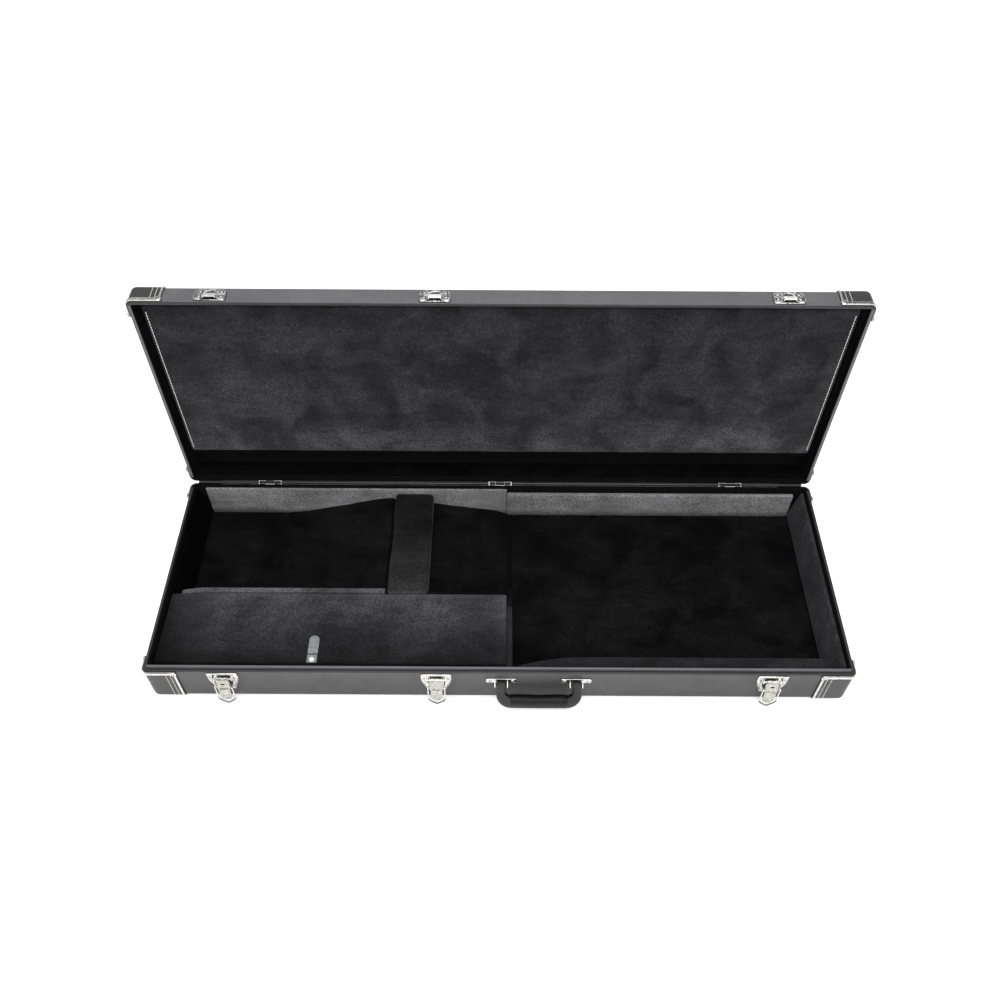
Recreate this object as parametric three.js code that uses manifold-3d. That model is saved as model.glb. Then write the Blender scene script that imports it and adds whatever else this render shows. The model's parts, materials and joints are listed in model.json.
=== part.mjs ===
// Hard-shell guitar case, lying flat with its lid standing open.
// Millimetres. X runs along the case, Y from the handle side to the hinge side, Z up.
// The origin is the centre of the base's underside.

import * as THREE from 'three';
import { mergeVertices } from 'three/addons/utils/BufferGeometryUtils.js';
import Module from 'manifold-3d';

const wasm = await Module();
wasm.setup();

// ---------- driving dimensions ----------
const LENGTH = 1050;
const WIDTH = 370;
const BASE_HEIGHT = 72;
const LID_DEPTH = 38;
const WALL = 5;                 // plywood with its vinyl cover
const BOARD = 5;                // bottom and top boards
const CORNER_RADIUS = 8;
const GAP = 0.3;                // room left between pieces that touch
const LID_OPEN = Math.PI / 2;   // lid angle in the modelled pose
const RIM_GAP = 1;              // between the two rims when shut

const VALANCE_OFFSET = 5.5;     // from the outer face
const VALANCE_THICKNESS = 3.5;
const VALANCE_BOTTOM = 48;
const VALANCE_RISE = 5;         // above the base rim

const FLOOR_PAD = 6;
const FLOOR_TOP = BOARD + GAP + FLOOR_PAD;
const LINING_OFFSET = VALANCE_OFFSET + VALANCE_THICKNESS + GAP;
const BODY_START = 12;          // x where the body well meets the neck section
const COMPARTMENT_TOP = 66;
const COMPARTMENT_BACK = -28;   // y of the partition's rear face
const PARTITION = 10;
const END_WALL = 8;
const COMPARTMENT_LID_THICKNESS = 5;

const LATCH_X = { left: -409, middle: -93, right: 405 };
const LATCH_WIDTH = 45;
const LATCH_LEAN = THREE.MathUtils.degToRad(4);
const LATCH_PIVOT_OUT = 6.5;    // from the wall
const LATCH_PIVOT_Z = 62;
const BAIL_OUT = 3.5;           // bail pin from the lever pin, lever frame
const BAIL_DOWN = 16;
const BAIL_LENGTH = 42;

const HANDLE_X = 60;
const HANDLE_SPAN = 113;        // between the two bracket pins
const HANDLE_PIVOT_OUT = 8;
const HANDLE_PIVOT_Z = 53;
const HANDLE_DROOP = THREE.MathUtils.degToRad(18);  // away from straight down
const HANDLE_REACH = 36;

const HINGE_X = [-392, 0, 392];
const HINGE_WIDTH = 36;
const HINGE_OUT = 3.2;          // pin axis outside the rear wall
const HINGE_Y = WIDTH / 2 + HINGE_OUT;
const HINGE_Z = BASE_HEIGHT + RIM_GAP / 2;

const CAP_LONG = 48;            // corner guard along the long walls
const CAP_SHORT = 27;           // and along the end walls
const CAP_THICKNESS = 1.2;
const TRIM_THICKNESS = 1.5;
const TRIM_WIDTH = 5;

// ---------- materials ----------
const finish = (color, roughness, metalness = 0) =>
  new THREE.MeshStandardMaterial({ color, roughness, metalness });
const vinyl = finish(0x2b2c2d, 0.55);
const plush = finish(0x1b1b1e, 0.95);
const leatherette = finish(0x232425, 0.5);
const chrome = finish(0xd8dadb, 0.15, 1);
const leather = finish(0x77797b, 0.7);

// ---------- solids ----------
function toSolid(geometry) {
  const plain = geometry.clone();
  plain.deleteAttribute('normal');
  plain.deleteAttribute('uv');
  const merged = mergeVertices(plain, 1e-4);
  return new wasm.Manifold(new wasm.Mesh({
    numProp: 3,
    vertProperties: merged.attributes.position.array,
    triVerts: Uint32Array.from(merged.index.array),
  }));
}

function toGeometry(solid) {
  const mesh = solid.getMesh();
  const geometry = new THREE.BufferGeometry();
  geometry.setAttribute('position', new THREE.BufferAttribute(mesh.vertProperties, 3));
  geometry.setIndex(new THREE.BufferAttribute(mesh.triVerts, 1));
  geometry.computeVertexNormals();
  return geometry;
}

function box(x0, x1, y0, y1, z0, z1) {
  const geometry = new THREE.BoxGeometry(x1 - x0, y1 - y0, z1 - z0);
  return geometry.translate((x0 + x1) / 2, (y0 + y1) / 2, (z0 + z1) / 2);
}

const solidBox = (...limits) => toSolid(box(...limits));

function polygon(points) {
  return new THREE.Shape(points.map(([a, b]) => new THREE.Vector2(a, b)));
}

function roundedRectangle(halfX, halfY, radius, Path = THREE.Shape) {
  const path = new Path();
  const a = halfX - radius;
  const b = halfY - radius;
  path.absarc(a, b, radius, 0, Math.PI / 2);
  path.absarc(-a, b, radius, Math.PI / 2, Math.PI);
  path.absarc(-a, -b, radius, Math.PI, 1.5 * Math.PI);
  path.absarc(a, -b, radius, 1.5 * Math.PI, 2 * Math.PI);
  path.closePath();
  return path;
}

function extrude(shape, depth) {
  return new THREE.ExtrudeGeometry(shape, { depth, bevelEnabled: false, curveSegments: 5 });
}

// A plate with the case's outline, drawn in by an offset.
function outlinePlate(offset, z0, z1) {
  const radius = Math.max(CORNER_RADIUS - offset, 2);
  const shape = roundedRectangle(LENGTH / 2 - offset, WIDTH / 2 - offset, radius);
  return extrude(shape, z1 - z0).translate(0, 0, z0);
}

// A closed wall that follows the case's outline between two offsets.
function outlineRing(offset, thickness, z0, z1) {
  const outer = roundedRectangle(LENGTH / 2 - offset, WIDTH / 2 - offset,
    Math.max(CORNER_RADIUS - offset, 2));
  const inset = offset + thickness;
  outer.holes.push(roundedRectangle(LENGTH / 2 - inset, WIDTH / 2 - inset,
    Math.max(CORNER_RADIUS - inset, 2), THREE.Path));
  return extrude(outer, z1 - z0).translate(0, 0, z0);
}

// An outline of (y, z) points carried along X.
function prismAlongX(points, x0, x1) {
  const turn = new THREE.Matrix4().makeBasis(
    new THREE.Vector3(0, 1, 0), new THREE.Vector3(0, 0, 1), new THREE.Vector3(1, 0, 0));
  return extrude(polygon(points), x1 - x0).applyMatrix4(turn).translate(x0, 0, 0);
}

// An outline of (x, z) points carried along Y.
function prismAlongY(shape, y0, y1) {
  const turn = new THREE.Matrix4().makeBasis(
    new THREE.Vector3(1, 0, 0), new THREE.Vector3(0, 0, 1), new THREE.Vector3(0, -1, 0));
  return extrude(shape, y1 - y0).applyMatrix4(turn).translate(0, y1, 0);
}

// A round bar along X through (y, z).
function barAlongX(radius, x0, x1, y, z, sides = 12) {
  const geometry = new THREE.CylinderGeometry(radius, radius, x1 - x0, sides);
  return geometry.rotateZ(Math.PI / 2).translate((x0 + x1) / 2, y, z);
}

const solidBar = (...args) => toSolid(barAlongX(...args));

// ---------- scene helpers ----------
const group = new THREE.Group();

function addMesh(parent, name, geometry, material) {
  const mesh = new THREE.Mesh(geometry, material);
  mesh.name = name;
  parent.add(mesh);
  return mesh;
}

function addGroup(parent, x, y, z) {
  const child = new THREE.Group();
  child.position.set(x, y, z);
  parent.add(child);
  return child;
}

// ---------- shell of the base ----------
function buildBaseShell() {
  addMesh(group, 'base_bottom', outlinePlate(0, 0, BOARD), vinyl);
  addMesh(group, 'base_frame', outlineRing(0, WALL, BOARD, BASE_HEIGHT), vinyl);
  const valance = outlineRing(VALANCE_OFFSET, VALANCE_THICKNESS,
    VALANCE_BOTTOM, BASE_HEIGHT + VALANCE_RISE);
  addMesh(group, 'base_valance', valance, vinyl);
}

// ---------- padding and compartment ----------
const INNER_X = LENGTH / 2 - LINING_OFFSET;
const INNER_Y = WIDTH / 2 - LINING_OFFSET;

function buildFloorPads() {
  const z0 = BOARD + GAP;
  const neckFront = COMPARTMENT_BACK + GAP;
  const neck = box(-INNER_X, BODY_START, neckFront, INNER_Y, z0, FLOOR_TOP);
  addMesh(group, 'neck_floor_pad', neck, plush);
  const body = box(BODY_START + END_WALL + GAP, INNER_X, -INNER_Y, INNER_Y, z0, FLOOR_TOP);
  addMesh(group, 'body_floor_pad', body, plush);
}

// End pads lean outwards: thick at the floor and thin at the rim.
function buildEndPads() {
  const foot = INNER_X - 16;
  const top = INNER_X - 6;
  const topZ = COMPARTMENT_TOP + 4;
  const z0 = FLOOR_TOP + GAP;
  const outline = (side) => polygon([
    [side * INNER_X, z0], [side * foot, z0], [side * top, topZ - 3],
    [side * (top + 3), topZ], [side * INNER_X, topZ],
  ]);
  const ends = { left_end_pad: -1, right_end_pad: 1 };
  for (const [name, side] of Object.entries(ends)) {
    const pad = prismAlongY(outline(side), -INNER_Y + 1, INNER_Y - 1);
    addMesh(group, name, pad, plush);
  }
}

const END_PAD_CLEAR = INNER_X - 16 - GAP;

function buildRearPads() {
  const z0 = FLOOR_TOP + GAP;
  const neck = prismAlongX([
    [INNER_Y - 4, z0], [INNER_Y, z0], [INNER_Y, 74], [INNER_Y - 2, 74], [INNER_Y - 4, 71],
  ], -END_PAD_CLEAR, BODY_START - GAP);
  addMesh(group, 'rear_neck_pad', neck, plush);
  const body = prismAlongX([
    [INNER_Y - 7, z0], [INNER_Y, z0], [INNER_Y, 66], [INNER_Y - 3, 66], [INNER_Y - 5, 63],
  ], BODY_START, END_PAD_CLEAR);
  addMesh(group, 'rear_body_pad', body, plush);
}

function buildFrontBolster() {
  const z0 = FLOOR_TOP + GAP;
  const front = -INNER_Y;
  const bolster = prismAlongX([
    [front, z0], [front + 27, z0], [front + 27, 52], [front + 22, 61], [front + 12, 65],
    [front + 3, 64], [front, 60],
  ], BODY_START + END_WALL + GAP, END_PAD_CLEAR);
  addMesh(group, 'front_bolster', bolster, plush);
}

// A foam hump under the neck rest: a long slope to the headstock side,
// a shallow one to the body side.
const REST_X = -145;
const REST_WIDTH = 64;
const REST_BOTTOM = 38;
const REST_TOP = 66;
const REST_FRONT = COMPARTMENT_BACK + 1;
const REST_BACK = INNER_Y - 4.5;

function buildNeckRamp() {
  const z0 = FLOOR_TOP + GAP;
  const left = REST_X - REST_WIDTH / 2 - 2;
  const right = REST_X + REST_WIDTH / 2 + 2;
  const shape = polygon([
    [-365, z0], [-1.5 + BODY_START, z0], [4, 19], [-50, 26], [right, REST_BOTTOM - GAP],
    [left, REST_BOTTOM - GAP], [left, 52], [left - 5, 52],
  ]);
  addMesh(group, 'neck_ramp', prismAlongY(shape, REST_FRONT, REST_BACK), plush);
}

// A block with rounded ends and a shallow saddle across its middle.
function buildNeckRest() {
  const length = REST_BACK - REST_FRONT;
  const outline = roundedRectangle(REST_WIDTH / 2, length / 2, 9);
  const block = extrude(outline, REST_TOP - REST_BOTTOM)
    .translate(REST_X, (REST_FRONT + REST_BACK) / 2, REST_BOTTOM);
  const saddle = prismAlongX([[38, 80], [38, 66], [56, 54], [104, 54], [122, 66], [122, 80]],
    REST_X - REST_WIDTH, REST_X + REST_WIDTH);
  addMesh(group, 'neck_rest', toGeometry(toSolid(block).subtract(toSolid(saddle))), plush);
}

const LID_HINGE_Y = COMPARTMENT_BACK - PARTITION;
const COMPARTMENT_LEFT = -(INNER_X - 3);
const COMPARTMENT_LID_FRONT = -INNER_Y + 9;
const COMPARTMENT_LID_UNDER = COMPARTMENT_TOP - COMPARTMENT_LID_THICKNESS;

function buildCompartment() {
  const z0 = BOARD + GAP;
  addMesh(group, 'compartment_rear_wall', box(-END_PAD_CLEAR, BODY_START - GAP,
    LID_HINGE_Y, COMPARTMENT_BACK, z0, COMPARTMENT_TOP), plush);
  addMesh(group, 'compartment_end_wall', box(BODY_START, BODY_START + END_WALL,
    -INNER_Y, COMPARTMENT_BACK, z0, COMPARTMENT_TOP), plush);
  addMesh(group, 'compartment_front_ledge', box(-END_PAD_CLEAR, BODY_START - GAP,
    -INNER_Y, -INNER_Y + 14, 48, COMPARTMENT_LID_UNDER - GAP), plush);
  addMesh(group, 'compartment_hinge_tape', box(-500, BODY_START - GAP,
    LID_HINGE_Y + 0.6, COMPARTMENT_BACK, COMPARTMENT_TOP + 0.1, COMPARTMENT_TOP + 0.9), plush);
}

function buildCompartmentLid() {
  const front = COMPARTMENT_LID_FRONT - LID_HINGE_Y;
  const lid = addGroup(group, 0, LID_HINGE_Y, COMPARTMENT_TOP);
  addMesh(lid, 'compartment_lid', box(-500, BODY_START - 0.8,
    front, -GAP, -COMPARTMENT_LID_THICKNESS, 0), plush);
  // The tab's fixed end and its rivet, then the loose end that is lifted.
  const tabX = -279;
  const anchor = toSolid(box(tabX - 7.5, tabX + 7.5, front + 1, front + 14.9, 0.3, 2))
    .add(toSolid(new THREE.CylinderGeometry(4.2, 4.2, 2, 16).rotateX(Math.PI / 2)
      .translate(tabX, front + 7, 2.2)));
  addMesh(lid, 'tab_rivet', toGeometry(anchor), leather);
  const flap = addGroup(lid, tabX, front + 16.5, 1.2);
  const outline = new THREE.Shape();
  outline.moveTo(-7.5, 0.3);
  outline.lineTo(7.5, 0.3);
  outline.lineTo(7.5, 24.5);
  outline.absarc(0, 24.5, 7.5, 0, Math.PI);
  outline.closePath();
  addMesh(flap, 'pull_tab', extrude(outline, 1.7).translate(0, 0, -0.85), leather);
}

// ---------- latches ----------
function latchPlate() {
  const half = LATCH_WIDTH / 2;
  const face = polygon([
    [-half, 69], [half, 69], [half, 60], [13, 40], [12, 30], [-12, 30], [-13, 40], [-half, 60],
  ]);
  let solid = toSolid(prismAlongY(face, -1.8, -GAP));
  for (const side of [-1, 1]) {
    const x = side * 14.4;
    solid = solid.add(solidBox(x - 0.8, x + 0.8, -9, -GAP, 57.5, 65.5));
  }
  return solid.add(solidBar(1.15, -14.4, 14.4, -LATCH_PIVOT_OUT, LATCH_PIVOT_Z));
}

// The lever hangs straight down in its own frame, around its pin.
function latchLever(withHole) {
  const outline = new THREE.Shape();
  outline.moveTo(-10.8, -1);
  outline.lineTo(-10.8, -19);
  outline.lineTo(-8.8, -22);
  outline.lineTo(-8.6, -40);
  outline.quadraticCurveTo(-7.5, -47.5, 0, -48);
  outline.quadraticCurveTo(7.5, -47.5, 8.6, -40);
  outline.lineTo(8.8, -22);
  outline.lineTo(10.8, -19);
  outline.lineTo(10.8, -1);
  outline.closePath();
  let solid = toSolid(prismAlongY(outline, -3.2, -1.7));
  solid = solid.add(solidBar(2.7, -9.4, 9.4, 0, 0, 14));
  for (const side of [-1, 1]) {
    const inner = Math.min(side * 9.4, side * 10.8);
    const flange = solidBox(inner, inner + 1.4, -5.2, -1.7, -19, -1);
    solid = solid.add(flange);
    const stubEnds = [side * 10, side * 13.3];
    solid = solid.add(solidBar(1.2, Math.min(...stubEnds), Math.max(...stubEnds),
      -BAIL_OUT, -BAIL_DOWN));
  }
  solid = solid.subtract(solidBar(1.55, -20, 20, 0, 0, 14));
  if (withHole) {
    const hole = new THREE.CylinderGeometry(1.9, 1.9, 8, 14).scale(1.7, 1, 1)
      .translate(0, -2.5, -9.5);
    solid = solid.subtract(toSolid(hole));
  }
  return solid;
}

// The bail is a flat loop whose far end comes to a blunt point.
function latchBail() {
  const outer = polygon([[-13.5, 0], [-13.5, -38], [0, 1 - BAIL_LENGTH], [13.5, -38], [13.5, 0]]);
  let solid = toSolid(prismAlongY(outer, -0.9, 0.9));
  const window = polygon([[-11.4, 2], [-11.4, -35.8], [0, 3.4 - BAIL_LENGTH], [11.4, -35.8],
    [11.4, 2]]);
  solid = solid.subtract(toSolid(prismAlongY(window, -3, 3)));
  for (const side of [-1, 1]) {
    const ends = [side * 11.4, side * 13.1];
    const x0 = Math.min(...ends);
    const x1 = Math.max(...ends);
    solid = solid.add(solidBar(2.8, x0, x1, 0, 0, 14));
    solid = solid.subtract(solidBar(1.55, x0 - 1, x1 + 1, 0, 0, 14));
  }
  return solid;
}

function buildLatches() {
  for (const [place, x] of Object.entries(LATCH_X)) {
    const wall = addGroup(group, x, -WIDTH / 2, 0);
    addMesh(wall, `latch_plate_${place}`, toGeometry(latchPlate()), chrome);
    const lever = addGroup(wall, 0, -LATCH_PIVOT_OUT, LATCH_PIVOT_Z);
    lever.rotation.x = -LATCH_LEAN;
    const hole = place !== 'middle';
    addMesh(lever, `latch_lever_${place}`, toGeometry(latchLever(hole)), chrome);
    const bail = addGroup(lever, 0, -BAIL_OUT, -BAIL_DOWN);
    addMesh(bail, `latch_bail_${place}`, toGeometry(latchBail()), chrome);
  }
}

// ---------- handle ----------
function handleBracket() {
  let solid = solidBox(-22.5, 22.5, -1.8, -GAP, 47.5, 58.5);
  for (const side of [-1, 1]) {
    const x = side * 9.3;
    solid = solid.add(solidBox(x - 0.8, x + 0.8, -11.5, -GAP, 49, 57.5));
  }
  return solid.add(solidBar(1.3, -9.3, 9.3, -HANDLE_PIVOT_OUT, HANDLE_PIVOT_Z));
}

// A bent grip that hangs down from two flat ends, in the frame of its pins.
function handleGrip() {
  const half = HANDLE_SPAN / 2;
  const bend = 18;
  const path = new THREE.CurvePath();
  const at = (x, z) => new THREE.Vector3(x, 0, z);
  path.add(new THREE.LineCurve3(at(-half, -9), at(-half, bend - HANDLE_REACH)));
  path.add(new THREE.QuadraticBezierCurve3(at(-half, bend - HANDLE_REACH),
    at(-half, -HANDLE_REACH), at(bend - half, -HANDLE_REACH)));
  path.add(new THREE.LineCurve3(at(bend - half, -HANDLE_REACH), at(half - bend, -HANDLE_REACH)));
  path.add(new THREE.QuadraticBezierCurve3(at(half - bend, -HANDLE_REACH),
    at(half, -HANDLE_REACH), at(half, bend - HANDLE_REACH)));
  path.add(new THREE.LineCurve3(at(half, bend - HANDLE_REACH), at(half, -9)));
  const section = new THREE.Shape();
  section.absellipse(0, 0, 8, 8, 0, 2 * Math.PI);
  const grip = new THREE.ExtrudeGeometry(section,
    { steps: 30, extrudePath: path, curveSegments: 5, bevelEnabled: false });
  let solid = toSolid(grip);
  for (const x of [-half, half]) {
    solid = solid.add(solidBox(x - 7, x + 7, -4.2, 4.2, -14, 0));
    solid = solid.add(solidBar(4.2, x - 7, x + 7, 0, 0, 14));
    solid = solid.subtract(solidBar(1.75, x - 9, x + 9, 0, 0, 14));
  }
  return solid;
}

function buildHandle() {
  const sides = { left: -1, right: 1 };
  for (const [side, sign] of Object.entries(sides)) {
    const bracket = addGroup(group, HANDLE_X + sign * HANDLE_SPAN / 2, -WIDTH / 2, 0);
    addMesh(bracket, `handle_bracket_${side}`, toGeometry(handleBracket()), chrome);
  }
  const handle = addGroup(group, HANDLE_X, -WIDTH / 2 - HANDLE_PIVOT_OUT, HANDLE_PIVOT_Z);
  handle.rotation.x = -HANDLE_DROOP;
  addMesh(handle, 'handle_grip', toGeometry(handleGrip()), leatherette);
}

// ---------- corner guards ----------
// A shell around one corner of the outline, between two offsets, cut to some boxes.
function cornerShell(sideX, sideY, inner, outer, boxes) {
  const bottom = Math.min(...boxes.map((limits) => limits[4]));
  const top = Math.max(...boxes.map((limits) => limits[5]));
  const shell = toSolid(outlinePlate(-outer, bottom, top))
    .subtract(toSolid(outlinePlate(-inner, bottom - 1, top + 1)));
  let keep = null;
  for (const [alongX0, alongX1, alongY0, alongY1, z0, z1] of boxes) {
    const xs = [sideX * (LENGTH / 2 + 9 - alongX0), sideX * (LENGTH / 2 - alongX1)];
    const ys = [sideY * (WIDTH / 2 + 9 - alongY0), sideY * (WIDTH / 2 - alongY1)];
    const piece = solidBox(Math.min(...xs), Math.max(...xs), Math.min(...ys), Math.max(...ys),
      z0, z1);
    keep = keep ? keep.add(piece) : piece;
  }
  return toGeometry(shell.intersect(keep));
}

// Rim trims follow the guard's rim edge and its two upright edges.
function trimBoxes(rimLow, rimHigh, low, high) {
  const rim = [0, CAP_LONG, 0, CAP_SHORT, rimLow, rimHigh];
  const longUpright = [9 + CAP_LONG - TRIM_WIDTH, CAP_LONG, 0, CAP_SHORT - 12, low, high];
  const shortUpright = [0, CAP_LONG - 30, 9 + CAP_SHORT - TRIM_WIDTH, CAP_SHORT, low, high];
  return [rim, longUpright, shortUpright];
}

const CORNERS = {
  front_left: [-1, -1], front_right: [1, -1], back_left: [-1, 1], back_right: [1, 1],
};

function buildCorners(parent, prefix, low, high, rimLow, rimHigh) {
  const guardOuter = GAP + CAP_THICKNESS;
  const trimInner = guardOuter + GAP;
  for (const [corner, [sideX, sideY]] of Object.entries(CORNERS)) {
    const guard = cornerShell(sideX, sideY, GAP, guardOuter,
      [[0, CAP_LONG, 0, CAP_SHORT, low, high]]);
    addMesh(parent, `${prefix}_corner_${corner}`, guard, leatherette);
    const trim = cornerShell(sideX, sideY, trimInner, trimInner + TRIM_THICKNESS,
      trimBoxes(rimLow, rimHigh, low, high));
    addMesh(parent, `${prefix}_corner_trim_${corner}`, trim, chrome);
  }
}

// ---------- hinges ----------
function hingeBaseLeaf() {
  const half = HINGE_WIDTH / 2;
  const y = HINGE_OUT;
  let solid = solidBox(-half, half, GAP, 1.8, -22, -3.4);
  for (const side of [-1, 1]) {
    const ends = [side * 8, side * half];
    const x0 = Math.min(...ends);
    const x1 = Math.max(...ends);
    solid = solid.add(solidBox(x0, x1, GAP, 1.8, -5, -0.6));
    solid = solid.add(solidBar(2.6, x0, x1, y, 0, 14));
  }
  return solid.add(solidBar(1.1, -9, 9, y, 0));
}

// In the frame of the pin, with the lid shut.
function hingeLidLeaf() {
  const half = HINGE_WIDTH / 2;
  const y = -HINGE_OUT;
  let solid = solidBox(-half, half, y + GAP, y + 1.8, 3.4, 24);
  solid = solid.add(solidBox(-7.6, 7.6, y + GAP, y + 1.8, 1, 5));
  solid = solid.add(solidBar(2.6, -7.6, 7.6, 0, 0, 14));
  return solid.subtract(solidBar(1.5, -10, 10, 0, 0, 14));
}

// ---------- lid ----------
// The strike is a plate with a hooked bar near the rim and a low dome above it.
function strike() {
  let solid = solidBox(-22.5, 22.5, -1.8, -GAP, 3.5, 31);
  solid = solid.add(solidBox(-5, 5, -9.5, -GAP, 6, 8));
  solid = solid.add(solidBox(-5, 5, -9.5, -8, 6, 10));
  const dome = polygon([[-9, 17], [9, 17], [7, 24], [0, 27], [-7, 24]]);
  return solid.add(toSolid(prismAlongY(dome, -3.6, -GAP)));
}

function buildLid() {
  const pin = addGroup(group, 0, HINGE_Y, HINGE_Z);
  pin.rotation.x = -LID_OPEN;
  const rim = addGroup(pin, 0, -HINGE_Y, RIM_GAP / 2);
  const boardBottom = LID_DEPTH - BOARD + GAP;
  const foamBottom = LID_DEPTH - BOARD;
  addMesh(rim, 'lid_frame', outlineRing(0, WALL, 0, foamBottom), vinyl);
  addMesh(rim, 'lid_top_panel', outlinePlate(0, boardBottom, LID_DEPTH), vinyl);
  const liningTop = foamBottom - GAP;
  addMesh(rim, 'lid_wall_lining', outlineRing(WALL + GAP, 7, 8, liningTop), plush);
  const inset = WALL + GAP + 7 + 1;
  const halfX = LENGTH / 2 - inset;
  const halfY = WIDTH / 2 - inset;
  const pad = prismAlongX([
    [-halfY, liningTop], [-halfY, 14], [-halfY + 5, 11], [halfY - 52, 11], [halfY - 42, 16],
    [halfY - 36, liningTop],
  ], -halfX, halfX);
  addMesh(rim, 'lid_pad', pad, plush);
  for (const [place, x] of Object.entries(LATCH_X)) {
    const spot = addGroup(rim, x, -WIDTH / 2, 0);
    addMesh(spot, `lid_strike_${place}`, toGeometry(strike()), chrome);
  }
  buildCorners(rim, 'lid', 1, LID_DEPTH, 1, 7);
  return pin;
}

function buildHinges(pin) {
  const places = ['left', 'middle', 'right'];
  HINGE_X.forEach((x, index) => {
    const wall = addGroup(group, x, WIDTH / 2, HINGE_Z);
    addMesh(wall, `hinge_base_leaf_${places[index]}`, toGeometry(hingeBaseLeaf()), chrome);
    const leaf = addGroup(pin, x, 0, 0);
    addMesh(leaf, `hinge_lid_leaf_${places[index]}`, toGeometry(hingeLidLeaf()), chrome);
  });
}

buildBaseShell();
buildFloorPads();
buildEndPads();
buildRearPads();
buildFrontBolster();
buildNeckRamp();
buildNeckRest();
buildCompartment();
buildCompartmentLid();
buildLatches();
buildHandle();
buildCorners(group, 'base', 0, BASE_HEIGHT - 1, BASE_HEIGHT - 7, BASE_HEIGHT - 1);
buildHinges(buildLid());

export default group;
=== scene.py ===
"""Looks of a plywood guitar case: vinyl covered shells, plush padding, plated hardware.

Laid out as an add-on and run as a script. Every piece is a surface worked out with numpy in millimetres,
put into a mesh in metres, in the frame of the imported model.
"""

import json
import math

import bmesh
import bpy
import numpy as np
from mathutils import Matrix, Vector


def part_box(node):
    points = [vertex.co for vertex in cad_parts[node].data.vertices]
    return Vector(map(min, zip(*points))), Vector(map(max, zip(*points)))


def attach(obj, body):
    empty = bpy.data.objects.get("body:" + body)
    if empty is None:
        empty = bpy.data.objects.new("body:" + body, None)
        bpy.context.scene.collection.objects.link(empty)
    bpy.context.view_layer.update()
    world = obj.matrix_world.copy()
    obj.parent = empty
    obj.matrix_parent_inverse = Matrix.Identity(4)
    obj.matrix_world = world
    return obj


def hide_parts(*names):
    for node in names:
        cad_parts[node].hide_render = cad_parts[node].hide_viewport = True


bl_info = {
    "name": "Guitar case",
    "version": (1, 0, 0),
    "blender": (4, 5, 0),
    "location": "View3D > Sidebar > Case",
    "description": "Builds the shells, padding and plated hardware of an open guitar case",
    "category": "Object",
}

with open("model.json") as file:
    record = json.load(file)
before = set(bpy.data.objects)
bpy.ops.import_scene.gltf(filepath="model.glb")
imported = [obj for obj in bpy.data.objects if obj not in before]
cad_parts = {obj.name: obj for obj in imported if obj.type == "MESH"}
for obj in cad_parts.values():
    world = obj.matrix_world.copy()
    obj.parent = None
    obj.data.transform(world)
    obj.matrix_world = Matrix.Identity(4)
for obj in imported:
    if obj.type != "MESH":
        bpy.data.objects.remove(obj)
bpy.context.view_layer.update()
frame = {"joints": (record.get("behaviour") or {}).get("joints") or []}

MM = 0.001


def node_box(name):
    """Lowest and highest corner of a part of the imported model, in millimetres."""
    low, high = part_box(name)
    return np.array(low) / MM, np.array(high) / MM


# ---------- driving dimensions, in millimetres ----------
HALF_LENGTH, HALF_WIDTH, BASE_HEIGHT = node_box("base_frame")[1]
LID_DEPTH = float(np.ptp(np.stack(node_box("lid_frame")), axis=0)[1]) + 5
CORNER_RADIUS = 8
LATCH_X = {p: float(np.mean(np.stack(node_box(f"latch_plate_{p}")), axis=0)[0])
           for p in ("left", "middle", "right")}
HINGE_X = {p: float(np.mean(np.stack(node_box(f"hinge_base_leaf_{p}")), axis=0)[0])
           for p in ("left", "middle", "right")}
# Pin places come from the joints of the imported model.
JOINTS = {j["name"]: j for j in frame["joints"]}
# The bail's eyes lie this far outside and below the lever's pin.
BAIL_OUT, BAIL_DOWN = 3.5, 16.0


def pin(joint):
    """A joint's anchor in millimetres."""
    return np.array(JOINTS[joint]["pos_m"]) / MM


# ---------- places ----------
# UPRIGHT stands a flat outline up against the front wall, REARWARD against the rear one.
UPRIGHT = Matrix.Rotation(math.radians(90), 4, "X")
REARWARD = Matrix.Rotation(math.radians(180), 4, "Z") @ UPRIGHT


def at(x, y, z):
    """A move to a point in millimetres."""
    return Matrix.Translation((x, y, z))


def turn_x(degrees):
    """A turn about the X axis."""
    return Matrix.Rotation(math.radians(degrees), 4, "X")


HINGE_PIN = pin("lid_hinge")
LID = at(0, HINGE_PIN[1] + 0.5, HINGE_PIN[2] + HINGE_PIN[1]) @ turn_x(-90)
# LID takes points of the shut lid, with its rim at zero height, to the open lid.


# ---------- shapes ----------
def skin(rings, wrap=False):
    """Closed skin over rings of equal point count, given as rows of points.

    Neighbouring rings are joined by quads. The first and last ring are closed by flat faces,
    unless the rows wrap round to meet.
    """
    rings = np.asarray(rings, float)
    rows, count = rings.shape[:2]
    index = np.arange(rows * count).reshape(rows, count)
    beside = np.roll(index, -1, axis=1)
    above, above_beside = np.roll(index, -1, axis=0), np.roll(beside, -1, axis=0)
    quads = np.stack([index, beside, above_beside, above], axis=-1)
    quads = quads if wrap else quads[:-1]
    faces = quads.reshape(-1, 4).tolist()
    if not wrap:
        faces += [index[0][::-1].tolist(), index[-1].tolist()]
    return rings.reshape(-1, 3), faces


def lifted(outline, height):
    """A flat outline as points at one height."""
    return np.column_stack([outline, np.full(len(outline), float(height))])


def arc(centre, radius, start, end, steps):
    """Points on a circle from one angle to another, in degrees."""
    angles = np.radians(np.linspace(start, end, steps + 1))
    return np.column_stack([centre[0] + radius * np.cos(angles), centre[1] + radius * np.sin(angles)])


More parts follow.
